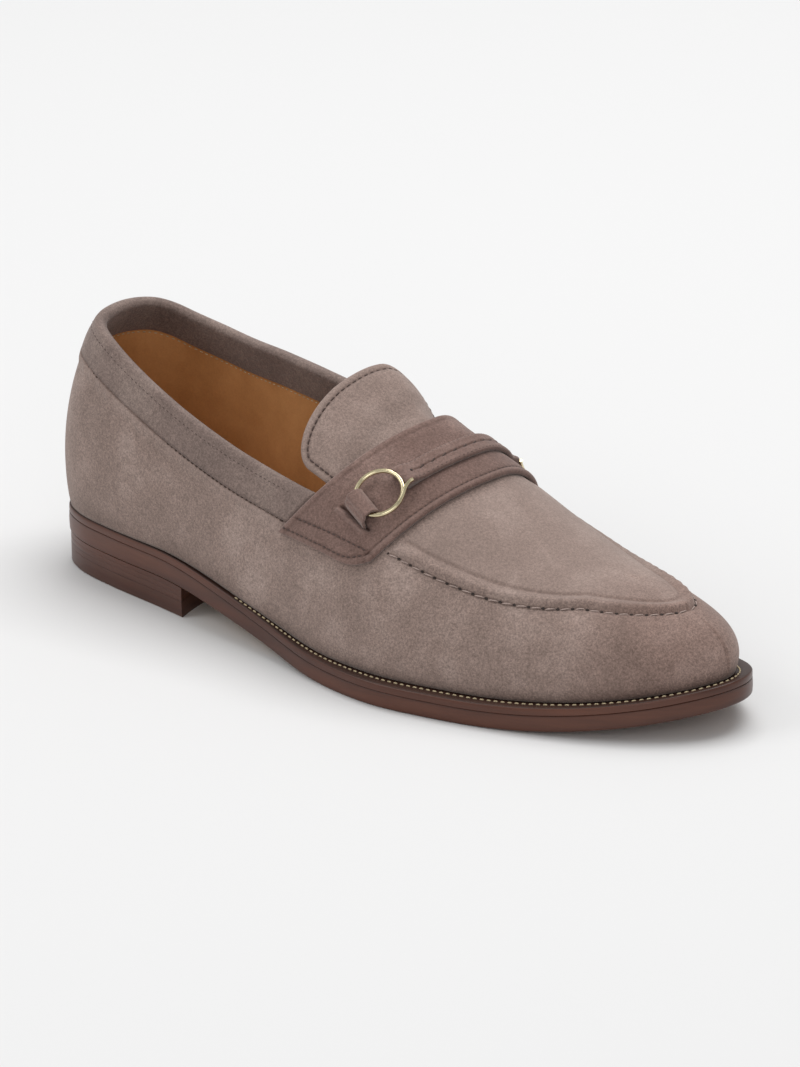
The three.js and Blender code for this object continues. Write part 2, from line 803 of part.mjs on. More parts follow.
// A ring with two necks that close in on a crossbar at the end of the bit strap
function bitRing(side) {
  const wire = 0.85 * RING_WIRE
  let shape = solid(new THREE.TorusGeometry(RING_RADIUS, RING_WIRE, 6, 24))
  const half = 0.7 * BIT_STRAP_WIDTH
  const bar = [-half - wire, half + wire].map(x => new THREE.Vector3(x, -NECK_LENGTH, -0.3))
  for (const way of [-1, 1]) {
    const neck = [
      [RING_RADIUS, 0.11, 0],
      [RING_RADIUS, -0.16, 0],
      [0.93 * RING_RADIUS, -0.4, 0],
      [0.78 * RING_RADIUS, -0.66, -0.1],
      [1.05 * half, -0.86, -0.2],
      [half, -1, -0.3],
    ].map(([x, y, z]) => new THREE.Vector3(way * x, y * NECK_LENGTH, z))
    shape = shape.add(solid(rod(neck, wire, 9)))
  }
  return fromSolid(shape.add(solid(rod(bar, wire, 1)))).applyMatrix4(ringFrame(side))
}

// The suede loop that is folded round the ring's outer side
function ringTab(side) {
  const gap = RING_WIRE + CLEARANCE
  const tail = RING_RADIUS + TAB_TAIL
  const fold = RING_RADIUS - TAB_FOLD
  const sag = RING_RADIUS - Math.sqrt(RING_RADIUS ** 2 - (TAB_WIDTH / 2) ** 2)
  const inner = RING_RADIUS - gap - sag
  const profile = new THREE.Shape([
    [tail, -gap - TAB],
    [tail, -gap],
    [fold + 2 * TAB, -gap],
    [inner, 0.2],
    [inner + 0.7 * gap, gap],
    [RING_RADIUS + 0.3 * gap, gap],
    [RING_RADIUS + gap, 0.2],
    [tail, 0.3 - gap],
    [tail, 0.3 - gap + TAB],
    [RING_RADIUS + 0.8 * gap, gap + 0.6 * TAB],
    [RING_RADIUS + 0.3 * gap, gap + TAB],
    [inner + 0.6 * gap, gap + TAB],
    [fold + 0.6 * TAB, 0.6 * TAB - gap],
    [fold, -gap - 0.3 * TAB],
    [fold + 0.6 * TAB, -gap - TAB],
  ].map(([x, y]) => new THREE.Vector2(x, y)))
  const geometry = new THREE.ExtrudeGeometry(profile, { depth: TAB_WIDTH, bevelEnabled: false })
  geometry.translate(0, 0, -TAB_WIDTH / 2)
  const turned = new THREE.Matrix4().makeBasis(
    new THREE.Vector3(0, 1, 0), new THREE.Vector3(0, 0, 1), new THREE.Vector3(1, 0, 0))
  return geometry.applyMatrix4(turned).applyMatrix4(ringFrame(side))
}

const shoe = new THREE.Group()

function piece(name, color, roughness, geometry, metalness = 0) {
  const material = new THREE.MeshStandardMaterial({ color, roughness, metalness })
  const mesh = new THREE.Mesh(geometry, material)
  mesh.name = name
  shoe.add(mesh)
}

const stackTop = x => under(x) - SEAT
piece('outsole', '#7d4f3b', 0.5, outsole())
piece('welt', '#5d3727', 0.5, welt())
piece('heel_stack', '#6f4434', 0.5, heelSlice(0, HEEL_LENGTH, EDGE_ROUND / 2, () => TOP_PIECE + SEAT, stackTop))
piece('top_piece_rear', '#5a4238', 0.7, heelSlice(0, TOP_PIECE_SEAM - CLEARANCE, EDGE_ROUND / 2, () => 0, () => TOP_PIECE))
piece('top_piece_front', '#7d5a48', 0.6, heelSlice(TOP_PIECE_SEAM, HEEL_LENGTH, EDGE_ROUND / 2, () => 0, () => TOP_PIECE))
piece('insole', '#a06c3a', 0.6, insole())
piece('upper', '#8b7870', 0.95, upper())
piece('collar_binding', '#7f6c64', 0.95, binding())
piece('tongue', '#8b7870', 0.95, tongue())
piece('saddle_strap', '#7d6961', 0.95, saddleStrap())
piece('bit_strap', '#7d6961', 0.95, bitStrap())
for (const [name, side] of [['lateral', LATERAL], ['medial', MEDIAL]]) {
  piece(`bit_ring_${name}`, '#c8b978', 0.25, bitRing(side), 1)
  piece(`ring_tab_${name}`, '#7d6961', 0.95, ringTab(side))
}

// The origin is under the middle of the shoe's box, on the floor
const box = new THREE.Box3().setFromObject(shoe)
const middle = box.getCenter(new THREE.Vector3())
shoe.position.set(-middle.x, -middle.y, 0)
shoe.updateMatrixWorld(true)

export default shoe
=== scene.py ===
# Right bit loafer: taupe suede on a low leather heel, saddle strap and ring bit.
import math

import bmesh
import bpy
import numpy as np
from mathutils import Matrix, Vector


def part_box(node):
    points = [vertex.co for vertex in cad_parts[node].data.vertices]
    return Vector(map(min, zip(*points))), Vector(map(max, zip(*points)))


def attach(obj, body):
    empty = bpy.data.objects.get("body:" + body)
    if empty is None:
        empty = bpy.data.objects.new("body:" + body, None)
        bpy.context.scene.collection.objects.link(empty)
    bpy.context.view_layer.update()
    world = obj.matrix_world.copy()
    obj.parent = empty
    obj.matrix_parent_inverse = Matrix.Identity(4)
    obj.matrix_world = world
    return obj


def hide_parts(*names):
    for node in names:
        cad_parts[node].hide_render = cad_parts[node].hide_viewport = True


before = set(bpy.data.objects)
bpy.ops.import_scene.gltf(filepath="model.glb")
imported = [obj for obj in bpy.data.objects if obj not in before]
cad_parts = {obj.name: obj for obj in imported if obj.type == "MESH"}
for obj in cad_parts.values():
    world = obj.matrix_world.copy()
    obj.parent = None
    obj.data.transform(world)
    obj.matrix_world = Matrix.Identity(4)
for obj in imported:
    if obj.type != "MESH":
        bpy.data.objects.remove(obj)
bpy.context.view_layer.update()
bpy.ops.object.select_all(action="DESELECT")

# The last, in millimetres
LENGTH = 300.0
BALL_WIDTH = 106.0
INSTEP = 88.0
HEEL_LIFT = 12.0
TOE_SPRING = 11.0
CREST_TOE = 252.0
CREST_HEEL = 46.0
THROAT = 176.0
THROAT_ROUND = 36.0
HEEL_LENGTH = 79.0
BREAST_HOLLOW = 6.0
TOP_PIECE = 6.0
TOP_PIECE_SEAM = 32.0
EDGE_FOREPART = 8.8
EDGE_HEEL = 10.0
WELT = 2.8
WELT_REACH = 6.0
INSOLE = 3.0
WALL = 2.2
ROLL_WIDTH = 4.6
ROLL_HEIGHT = 1.5
APRON_STEP = 0.5
BINDING = 1.0
BINDING_OUTSIDE = 12.5
BINDING_INSIDE = 12.0
TONGUE = 2.4
TONGUE_LATERAL = 48.0
TONGUE_MEDIAL = 26.0
TONGUE_END = 121.0
TONGUE_RISE = 2.0
TONGUE_TILT = 3.0
TONGUE_SLANT = 0.2
TONGUE_CORNER = 14.0
STRAP = 2.0
STRAP_REAR = 160.0
STRAP_FRONT = 191.0
STRAP_REACH_REAR = 73.0
STRAP_REACH_FRONT = 65.0
STRAP_SWEEP_REAR = 30.0
STRAP_SWEEP_FRONT = 20.0
STRAP_CORNER = 6.0
BIT_STRAP = 1.8
BIT_STRAP_WIDTH = 7.4
BIT_FORWARD = 1.5
RING_RADIUS = 8.7
RING_WIRE = 0.85
RING_CENTRE = 39.0
NECK_LENGTH = 10.2
TAB = 1.2
TAB_WIDTH = 9.6
TAB_FOLD = 5.0
TAB_TAIL = 1.8
SEAT = 0.1
CLEARANCE = 0.3
TONGUE_GAP = 0.6
STRAP_TOP = CLEARANCE + STRAP
RING_HEIGHT = STRAP_TOP + 2 * CLEARANCE + TAB + RING_WIRE

# share, middle, half
PLAN = np.array([
    [0.00, 0.000, 0.000], [0.02, -0.003, 0.207], [0.06, -0.005, 0.284], [0.13, -0.013, 0.325],
    [0.22, -0.048, 0.328], [0.32, -0.094, 0.331], [0.42, -0.122, 0.352], [0.52, -0.112, 0.432],
    [0.62, -0.078, 0.500], [0.70, -0.058, 0.486], [0.78, -0.048, 0.436], [0.86, -0.034, 0.362],
    [0.93, -0.018, 0.262], [0.98, 0.000, 0.140], [1.00, 0.004, 0.000],
]).T
# share, reach, swell lateral, swell medial, rise, run
RIBS = np.array([
    [0.00, 0.10, 0.080, 0.080, 0.42, 0.70], [0.15, 0.15, 0.055, 0.065, 0.42, 0.66],
    [0.30, 0.30, 0.030, 0.115, 0.42, 0.60], [0.40, 0.40, 0.035, 0.135, 0.42, 0.62],
    [0.50, 0.65, 0.040, 0.095, 0.42, 0.62], [0.60, 0.92, 0.040, 0.050, 0.45, 0.60],
    [0.70, 1.00, 0.035, 0.040, 0.50, 0.60], [0.80, 1.00, 0.030, 0.032, 0.55, 0.60],
    [0.90, 1.00, 0.036, 0.050, 0.64, 0.58], [1.00, 1.00, 0.050, 0.065, 0.67, 0.55],
]).T
# share, height, shift
CREST = np.array([
    [0.00, 1.300, 0.000], [0.15, 1.300, 0.000], [0.30, 1.200, 0.040], [0.40, 1.085, 0.060],
    [0.50, 0.960, 0.045], [0.60, 0.815, 0.020], [0.70, 0.660, 0.005], [0.80, 0.540, 0.000],
    [0.90, 0.487, 0.004], [1.00, 0.452, 0.004],
]).T
# share, lateral, medial
TOPLINE = np.array([
    [0.00, 1.055, 1.055], [0.05, 1.050, 1.030], [0.09, 1.020, 0.965], [0.14, 0.958, 0.925],
    [0.24, 0.835, 0.905], [0.31, 0.770, 0.890], [0.38, 0.722, 0.855], [0.46, 0.682, 0.765],
    [0.55, 0.670, 0.720], [1.00, 0.670, 0.720],
]).T
SEAM = np.array([
    [0.00, 0.300, 0.300], [0.40, 0.380, 0.360], [0.52, 0.440, 0.420], [0.60, 0.478, 0.462],
    [0.68, 0.488, 0.480], [0.74, 0.507, 0.500], [0.80, 0.560, 0.555], [0.86, 0.632, 0.630],
    [0.92, 0.705, 0.705], [1.00, 0.780, 0.780],
]).T

LATERAL = -1.0
MEDIAL = 1.0


def smooth(keys, values):
    """A curve through a column, with the slope of the parabola through each row's neighbours."""
    keys, values = np.array(keys, float), np.array(values, float)
    gaps = np.diff(keys)
    rates = np.diff(values) / gaps
    slopes = np.empty(len(keys))
    slopes[0], slopes[-1] = rates[0], rates[-1]
    slopes[1:-1] = (rates[:-1] * gaps[1:] + rates[1:] * gaps[:-1]) / (gaps[:-1] + gaps[1:])

    def at(x):
        x = np.clip(x, keys[0], keys[-1])
        i = np.clip(np.searchsorted(keys, x, side="left") - 1, 0, len(keys) - 2)
        u = (x - keys[i]) / gaps[i]
        v = 1 - u
        start = (1 + 2 * u) * v * v * values[i] + u * v * v * gaps[i] * slopes[i]
        end = u * u * (3 - 2 * u) * values[i + 1] - u * u * v * gaps[i] * slopes[i + 1]
        return start + end

    return at


def ease(low, high, x):
    u = np.clip((x - low) / (high - low), 0, 1)
    return u * u * (3 - 2 * u)


def hump(x, width):
    return np.exp(-((x / width) ** 2))


def share_of(turn):
    return (1 - np.cos(np.pi * np.asarray(turn, float))) / 2


def turn_of(share):
    return np.arccos(np.clip(1 - 2 * np.asarray(share, float), -1, 1)) / np.pi


plan_middle = smooth(turn_of(PLAN[0]), PLAN[1])
plan_half = smooth(turn_of(PLAN[0]), PLAN[2])
reach_share = smooth(RIBS[0], RIBS[1])
swell_lateral = smooth(RIBS[0], RIBS[2])
swell_medial = smooth(RIBS[0], RIBS[3])
rise_share = smooth(RIBS[0], RIBS[4])
run_share = smooth(RIBS[0], RIBS[5])
crest_height = smooth(CREST[0], CREST[1])
crest_shift = smooth(CREST[0], CREST[2])
top_lateral = smooth(TOPLINE[0], TOPLINE[1])
top_medial = smooth(TOPLINE[0], TOPLINE[2])
seam_lateral = smooth(SEAM[0], SEAM[1])
seam_medial = smooth(SEAM[0], SEAM[2])


def unit(v):
    return v / np.maximum(np.linalg.norm(v, axis=-1, keepdims=True), 1e-12)


def edge_point(turn, side):
    x = share_of(turn) * LENGTH
    y = (plan_middle(turn) + side * plan_half(turn)) * BALL_WIDTH
    return np.stack(np.broadcast_arrays(x, y), -1)


def outline(turn, side, inset=0.0):
    """Point of the sole's edge moved inwards by an inset, and the outward direction there."""
    turn = np.asarray(turn, float)
    side = np.broadcast_to(np.asarray(side, float), turn.shape)
    tangent = unit(edge_point(np.minimum(turn + 1e-3, 1), side) - edge_point(np.maximum(turn - 1e-3, 0), side))
    out = np.stack([-side * tangent[..., 1], side * tangent[..., 0]], -1)
    out[turn <= 1e-3] = (-1, 0)
    out[turn >= 1 - 1e-3] = (1, 0)
    inset = np.broadcast_to(np.asarray(inset, float), turn.shape)
    return edge_point(turn, side) - out * inset[..., None], out


def under(x):
    drop = HEEL_LIFT * (1 - ease(0.217 * LENGTH, 0.557 * LENGTH, x))
    return drop + TOE_SPRING * np.maximum(0, (x / LENGTH - 0.733) / 0.267) ** 2


def edge_height(x):
    return EDGE_HEEL + (EDGE_FOREPART - EDGE_HEEL) * ease(0.2 * LENGTH, 0.45 * LENGTH, x)


def seat(x):
    return under(x) + edge_height(x)


def reach(share):
    return WELT_REACH * reach_share(share)


def crest_station(share):
    soft = 0.05 * LENGTH

    def bend(x):
        front = CREST_TOE - soft * np.log1p(np.exp((CREST_TOE - x) / soft))
        return CREST_HEEL + soft * np.log1p(np.exp((front - CREST_HEEL) / soft))

    first = bend(0.0)
    spread = (CREST_TOE - CREST_HEEL) / (bend(LENGTH) - first)
    return CREST_HEEL + (bend(share * LENGTH) - first) * spread


def crest_point(x):
    share = x / LENGTH
    return np.stack([x, crest_shift(share) * BALL_WIDTH, crest_height(share) * INSTEP], -1)


def rib(turn, side):
    """The four control points of the ribs at these turns."""
    turn = np.asarray(turn, float)
    side = np.broadcast_to(np.asarray(side, float), turn.shape)
    share = share_of(turn)
    point, out = outline(turn, side, reach(share))
    foot = np.stack([point[..., 0], point[..., 1], seat(point[..., 0]) + SEAT], -1)
    x = crest_station(share)
    crest = crest_point(x)
    grade = (crest_point(x + 1)[..., 2] - crest_point(x - 1)[..., 2]) / 2
    swell = np.where(side < 0, swell_lateral(share), swell_medial(share)) * BALL_WIDTH
    low = foot.copy()
    low[..., 0] += out[..., 0] * swell
    low[..., 1] += out[..., 1] * swell
    low[..., 2] += rise_share(share) * (crest[..., 2] - foot[..., 2])
    run = run_share(share)
    dx = (foot[..., 0] - crest[..., 0]) * run
    dy = (foot[..., 1] - crest[..., 1]) * run
    high = crest + np.stack([dx, dy, dx * grade], -1)
    return foot, low, high, crest


def on_rib(curve, u):
    foot, low, high, crest = curve
    u = np.asarray(u, float)[..., None]
    v = 1 - u
    return foot * v ** 3 + low * 3 * v * v * u + high * 3 * v * u * u + crest * u ** 3


def surface(turn, side, u):
    """Points of the last and its outward directions; where the ribs fan together, the crest's own."""
    d = 2e-3
    turn, side, u = np.broadcast_arrays(np.asarray(turn, float), np.asarray(side, float), np.asarray(u, float))
    curve = rib(turn, side)
    ahead = on_rib(rib(np.minimum(turn + d, 1), side), u)
    behind = on_rib(rib(np.maximum(turn - d, 0), side), u)
    upwards = on_rib(curve, np.minimum(u + d, 1)) - on_rib(curve, np.maximum(u - d, 0))
    normal = unit(np.cross(ahead - behind, upwards)) * -side[..., None]
    share = share_of(turn)
    x = crest_station(share)
    grade = (crest_point(x + 1)[..., 2] - crest_point(x - 1)[..., 2]) / 2
    level = unit(np.stack([-grade, 0 * grade, 1 + 0 * grade], -1))
    near = (ease(0.88, 0.99, u) * ease(0.75, 0.85, share))[..., None]
    return on_rib(curve, u), unit(normal * (1 - near) + level * near)


def arc_table(curve, steps=60):
    u = np.linspace(0, 1, steps + 1)
    points = on_rib([c[..., None, :] for c in curve], u)
    lengths = np.linalg.norm(np.diff(points, axis=-2), axis=-1)
    table = np.zeros(lengths.shape[:-1] + (steps + 1,))
    table[..., :-1] = np.cumsum(lengths[..., ::-1], -1)[..., ::-1]
    return table


def below_crest(curve, distance, steps=60):
    """Place on each rib at a distance below its crest, measured over the leather."""
    table = arc_table(curve, steps)
    distance = np.asarray(distance, float)
    count = (table > distance[..., None]).sum(-1)
    i = np.clip(count - 1, 0, steps - 1)
    upper = np.take_along_axis(table, i[..., None], -1)[..., 0]
    lower = np.take_along_axis(table, i[..., None] + 1, -1)[..., 0]
    u = (i + (upper - distance) / np.maximum(upper - lower, 1e-9)) / steps
    return np.where(count == 0, 0.0, u)


def to_crest(curve, u, steps=60):
    """Distance over the leather from a place on each rib to its crest."""
    table = arc_table(curve, steps)
    at = np.clip(np.asarray(u, float), 0, 1) * steps
    i = np.clip(at.astype(int), 0, steps - 1)
    lower = np.take_along_axis(table, i[..., None], -1)[..., 0]
    upper = np.take_along_axis(table, i[..., None] + 1, -1)[..., 0]
    return lower + (upper - lower) * (at - i)


def over(x, across, height):
    """Points over the last by station, distance across from the crest and height, and the directions."""
    x, across, height = np.broadcast_arrays(np.asarray(x, float), np.asarray(across, float), np.asarray(height, float))
    side = np.where(across < 0, -1.0, 1.0)
    turn = turn_of(x / LENGTH)
    u = below_crest(rib(turn, side), np.abs(across))
    point, normal = surface(turn, side, u)
    return point + normal * height[..., None], normal


def top_of(turn, side):
    """Share of each rib where the topline cuts it; the throat rounds up to the crest."""
    turn = np.asarray(turn, float)
    side = np.broadcast_to(np.asarray(side, float), turn.shape)
    curve = rib(turn, side)
    low, high = np.zeros(turn.shape), np.ones(turn.shape)

    def excess(u):
        p = on_rib(curve, u)
        share = p[..., 0] / LENGTH
        lateral = top_lateral(share)
        return p[..., 2] - (lateral + ease(0.0, 0.12, turn) * (side > 0) * (top_medial(share) - lateral)) * INSTEP

    closed = excess(high) < 0
    for _ in range(30):
        middle = (low + high) / 2
        above = excess(middle) > 0
        high = np.where(above, middle, high)
        low = np.where(above, low, middle)
    high = np.where(closed, 1.0, high)
    into = np.clip((share_of(turn) * LENGTH - THROAT + THROAT_ROUND) / THROAT_ROUND, 0, 1)
    return high + (1 - high) * (1 - np.sqrt(1 - into * into))


def seam_of(turn, side):
    share = share_of(turn)
    return np.where(np.asarray(side) < 0, seam_lateral(share), seam_medial(share))


def strap_rear(across):
    return STRAP_REAR - STRAP_SWEEP_REAR * (np.abs(across) / STRAP_REACH_REAR) ** 1.6


def strap_front(across):
    return STRAP_FRONT - STRAP_SWEEP_FRONT * (np.abs(across) / STRAP_REACH_FRONT) ** 1.7


def bit_middle(across):
    return (strap_rear(across) + strap_front(across)) / 2 + BIT_FORWARD


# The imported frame's place
edge_turns = np.linspace(0, 1, 400)
edge_low = edge_point(edge_turns, LATERAL)[:, 1].min()
edge_high = edge_point(edge_turns, MEDIAL)[:, 1].max()
sole_low, sole_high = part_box("outsole")
SHIFT = np.array([
    (sole_low.x + sole_high.x) * 500 - LENGTH / 2,
    (sole_low.y + sole_high.y) * 500 - (edge_low + edge_high) / 2,
    0.0,
])


# Making pieces
def grid_quads(rows, columns, start=0, wrap_rows=False, wrap_columns=False):
    i = np.arange(rows if wrap_rows else rows - 1)
    j = np.arange(columns if wrap_columns else columns - 1)
    i, j = np.meshgrid(i, j, indexing="ij")
    a = i * columns + j
    b = i * columns + (j + 1) % columns
    c = ((i + 1) % rows) * columns + (j + 1) % columns
    d = ((i + 1) % rows) * columns + j
    return np.stack([a, b, c, d], -1).reshape(-1, 4) + start


def piece(name, points, faces, material, attributes=None, weld=0.0, outwards=True, angle=None):
    """A mesh piece from points in millimetres, riding on the shoe."""
    mesh = bpy.data.meshes.new(name)
    place = (np.asarray(points, float).reshape(-1, 3) + SHIFT) / 1000
    mesh.from_pydata(place.tolist(), [], [list(map(int, f)) for f in faces])
    for key, values in (attributes or {}).items():
        layer = mesh.attributes.new(key, "FLOAT", "POINT")
        layer.data.foreach_set("value", np.asarray(values, np.float32).ravel())
    shape = bmesh.new()
    shape.from_mesh(mesh)
    if weld:
        bmesh.ops.remove_doubles(shape, verts=shape.verts, dist=weld / 1000)
    if outwards:
        bmesh.ops.recalc_face_normals(shape, faces=shape.faces)
    for face in shape.faces:
        face.smooth = True
    shape.to_mesh(mesh)
    shape.free()
    made = bpy.data.objects.new(name, mesh)
    bpy.context.scene.collection.objects.link(made)
    made.data.materials.append(material)
    if angle:
        bpy.ops.object.select_all(action="DESELECT")
        made.select_set(True)
        bpy.context.view_layer.objects.active = made
        bpy.ops.object.shade_smooth_by_angle(angle=math.radians(angle))
        made.select_set(False)
    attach(made, "root")
    return made


def sheet_body(top, bottom):
    """Points and faces of a closed body between two grids of as many points."""
    rows, columns = top.shape[:2]
    loops = np.concatenate([top, bottom[:, ::-1]], axis=1)
    n = 2 * columns
    faces = grid_quads(rows, n, wrap_columns=True)
    j = np.arange(columns - 1)
    first = np.stack([j, n - 1 - j, n - 2 - j, j + 1], -1)
    last = np.stack([j, j + 1, n - 2 - j, n - 1 - j], -1) + (rows - 1) * n
    return loops.reshape(-1, 3), np.concatenate([faces, first, last])


def tubes(lines, normals, radius, flat=1.0, sides=6):
    """Points and faces of short closed tubes along many lines of as many points."""
    lines = np.asarray(lines, float)
    count, steps = lines.shape[:2]
    tangent = unit(np.gradient(lines, axis=1))
    across = unit(np.cross(tangent, normals))
    out = unit(np.cross(across, tangent))
    angles = np.arange(sides) * 2 * np.pi / sides
    radius = np.broadcast_to(np.asarray(radius, float), (steps,))
    ring = (across[:, :, None, :] * np.cos(angles)[:, None] + out[:, :, None, :] * (flat * np.sin(angles))[:, None])
    points = lines[:, :, None, :] + ring * radius[None, :, None, None]
    faces = []
    each = steps * sides
    strip = grid_quads(steps, sides, wrap_columns=True)
    for k in range(count):
        faces.extend((strip + k * each).tolist())
        faces.append([k * each + s for s in range(sides)])
        faces.append([k * each + each - 1 - s for s in range(sides)])
    return points.reshape(-1, 3), faces


def along(points, normals, places):
    """Resamples a line over the leather at distances from its start."""
    steps = np.concatenate([[0], np.cumsum(np.linalg.norm(np.diff(points, axis=0), axis=1))])
    pick = lambda data: np.stack([np.interp(places, steps, data[:, k]) for k in range(3)], -1)
    return pick(points), unit(pick(normals))


def line_length(points):
    return float(np.linalg.norm(np.diff(points, axis=0), axis=1).sum())


def stitches(name, line, pitch, length, radius, lift, material, slant=0.0, flat=0.8, margin=0.0):
    """A row of stitches along a line (points, normals): each dips into the leather at its ends."""
    points, normals = line
    total = line_length(points) - 2 * margin
    count = max(1, int(round(total / pitch)))
    centres = margin + (np.arange(count) + 0.5) * total / count
    offsets = np.linspace(-0.5, 0.5, 5) * length
    places = (centres[:, None] + offsets[None, :]).ravel()
    p, n = along(points, normals, places)
    p, n = p.reshape(count, 5, 3), n.reshape(count, 5, 3)
    arch = lift - (lift + radius) * (2 * offsets / length) ** 4
    tangent = unit(np.gradient(p, axis=1))
    aside = unit(np.cross(n, tangent))
    p = p + n * arch[None, :, None] + aside * (slant * offsets)[None, :, None]
    pts, faces = tubes(p, n, radius * np.array([0.75, 1, 1.05, 1, 0.75]), flat)
    return piece(name, pts, faces, material)


def dots(name, line, pitch, radius, material, start=0.5, length=1.0, margin=0.0, lift=0.0):
    """A row of small flat pits, drawn out along the line."""
    points, normals = line
    total = line_length(points) - 2 * margin
    count = max(1, int(round(total / pitch)))
    centres = margin + (np.arange(count) + start) * total / count
    offsets = np.linspace(-1, 1, 5)
    places = (centres[:, None] + offsets[None, :] * radius * length).ravel()
    p, n = along(points, normals, places)
    p, n = p.reshape(count, 5, 3), n.reshape(count, 5, 3)
    widths = radius * np.sqrt(np.maximum(1 - offsets ** 2, 0.04))
    pts, faces = tubes(p + n * lift, n, widths, 0.35, 8)
    return piece(name, pts, faces, material)


# Materials
WAIST_FRONT = 158.0
WAIST_BOW = 24.0


def finish_of(name):
    made = bpy.data.materials.new(name)
    made.use_nodes = True
    tree = made.node_tree
    return made, tree.nodes, tree.links, tree.nodes["Principled BSDF"]


def noise(nodes, links, place, scale, detail=2.0, rough=0.5):
    texture = nodes.new("ShaderNodeTexNoise")
    texture.inputs["Scale"].default_value = scale
    texture.inputs["Detail"].default_value = detail
    texture.inputs["Roughness"].default_value = rough
    links.new(place, texture.inputs["Vector"])
    return texture.outputs["Fac"]


def ramp(nodes, links, value, stops):
    made = nodes.new("ShaderNodeValToRGB")
    links.new(value, made.inputs["Fac"])
    elements = made.color_ramp.elements
    while len(elements) < len(stops):
        elements.new(0.5)
    for element, (position, colour) in zip(elements, stops):
        element.position = position
        element.color = (*colour, 1)
    return made.outputs["Color"]


def mix(nodes, links, kind, factor, first, second):
    made = nodes.new("ShaderNodeMix")
    made.data_type = "RGBA"
    made.blend_type = kind
    for socket, value in (("Factor", factor), ("A", first), ("B", second)):
        target = [s for s in made.inputs if s.name == socket and (s.type == "RGBA" or socket == "Factor" and s.type == "VALUE")][0]
        if isinstance(value, bpy.types.NodeSocket):
            links.new(value, target)
        elif isinstance(value, tuple):
            target.default_value = (*value, 1)
        else:
            target.default_value = value
    return [s for s in made.outputs if s.type == "RGBA"][0]


def math_node(nodes, links, kind, first, second=0.0):
    made = nodes.new("ShaderNodeMath")
    made.operation = kind
    for i, value in enumerate((first, second)):
        if isinstance(value, bpy.types.NodeSocket):
            links.new(value, made.inputs[i])
        else:
            made.inputs[i].default_value = value
    return made.outputs[0]


def attribute(nodes, name):
    made = nodes.new("ShaderNodeAttribute")
    made.attribute_name = name
    return made.outputs["Fac"]


def relief(nodes, links, shader, heights):
    """Bumps from (height, distance in metres, strength), one after another."""
    last = None
    for height, distance, strength in heights:
        bump = nodes.new("ShaderNodeBump")
        bump.inputs["Distance"].default_value = distance
        bump.inputs["Strength"].default_value = strength
        links.new(height, bump.inputs["Height"])
        if last:
            links.new(last, bump.inputs["Normal"])
        last = bump.outputs["Normal"]
    links.new(last, shader.inputs["Normal"])


def suede(name, dark, middle, light):
    """Brushed suede: a faint cloud where the nap lies either way, a grain of short fibres, a dull sheen, a painted
    highlight and painted shade.
    """
    made, nodes, links, shader = finish_of(name)
    place = nodes.new("ShaderNodeTexCoord").outputs["Object"]
    brushed = noise(nodes, links, place, 45.0, 3.0, 0.6)
    mottle = noise(nodes, links, place, 330.0, 3.0, 0.65)
    fibre = noise(nodes, links, place, 1150.0, 3.0, 0.8)
    speck = noise(nodes, links, place, 3000.0, 2.0, 0.75)
    base = ramp(nodes, links, brushed, [(0.3, dark), (0.5, middle), (0.7, light)])
    base = mix(nodes, links, "OVERLAY", 0.18, base, ramp(nodes, links, mottle, [(0.32, (0.32,) * 3), (0.68, (0.68,) * 3)]))
    base = mix(nodes, links, "OVERLAY", 0.5, base, ramp(nodes, links, fibre, [(0.36, (0.24,) * 3), (0.64, (0.76,) * 3)]))
    base = mix(nodes, links, "OVERLAY", 0.5, base, ramp(nodes, links, speck, [(0.34, (0.28,) * 3), (0.66, (0.72,) * 3)]))
    # Painted highlight: where the piece's attribute marks it, the colour is mixed halfway to the light tone.
    base = mix(nodes, links, "MIX", attribute(nodes, "painted_highlight"), base, mix(nodes, links, "MIX", 0.5, base, light))
    # Painted shade: the shade attribute darkens the colour towards a dark brown.
    base = mix(nodes, links, "MULTIPLY", attribute(nodes, "shade"), base, (0.30, 0.24, 0.22))
    base = mix(nodes, links, "MIX", attribute(nodes, "patina"), base, mix(nodes, links, "MULTIPLY", 0.75, base, (0.78, 0.60, 0.56)))
    links.new(base, shader.inputs["Base Color"])
    shader.inputs["Roughness"].default_value = 0.95
    shader.inputs["Specular IOR Level"].default_value = 0.12
    shader.inputs["Sheen Weight"].default_value = 0.3
    shader.inputs["Sheen Roughness"].default_value = 0.5
    shader.inputs["Sheen Tint"].default_value = (0.9, 0.82, 0.78, 1)
    relief(nodes, links, shader, [(mottle, 0.0004, 0.2), (fibre, 0.0003, 0.45), (speck, 0.00012, 0.3)])
    return made


def waist_mask(nodes, links, place):
    """1 on the bare waist: from the heel's breast to a line that bows towards the toe."""
    split = nodes.new("ShaderNodeSeparateXYZ")
    links.new(place, split.inputs["Vector"])
    middle = math_node(nodes, links, "SUBTRACT", split.outputs["Y"], (SHIFT[1] - 0.115 * BALL_WIDTH) / 1000)
    bow = math_node(nodes, links, "MULTIPLY", math_node(nodes, links, "MULTIPLY", middle, middle), WAIST_BOW)
    along_x = math_node(nodes, links, "ADD", split.outputs["X"], bow)
    before = math_node(nodes, links, "SUBTRACT", (SHIFT[0] + WAIST_FRONT) / 1000, along_x)
    return math_node(nodes, links, "GREATER_THAN", before, 0.0)


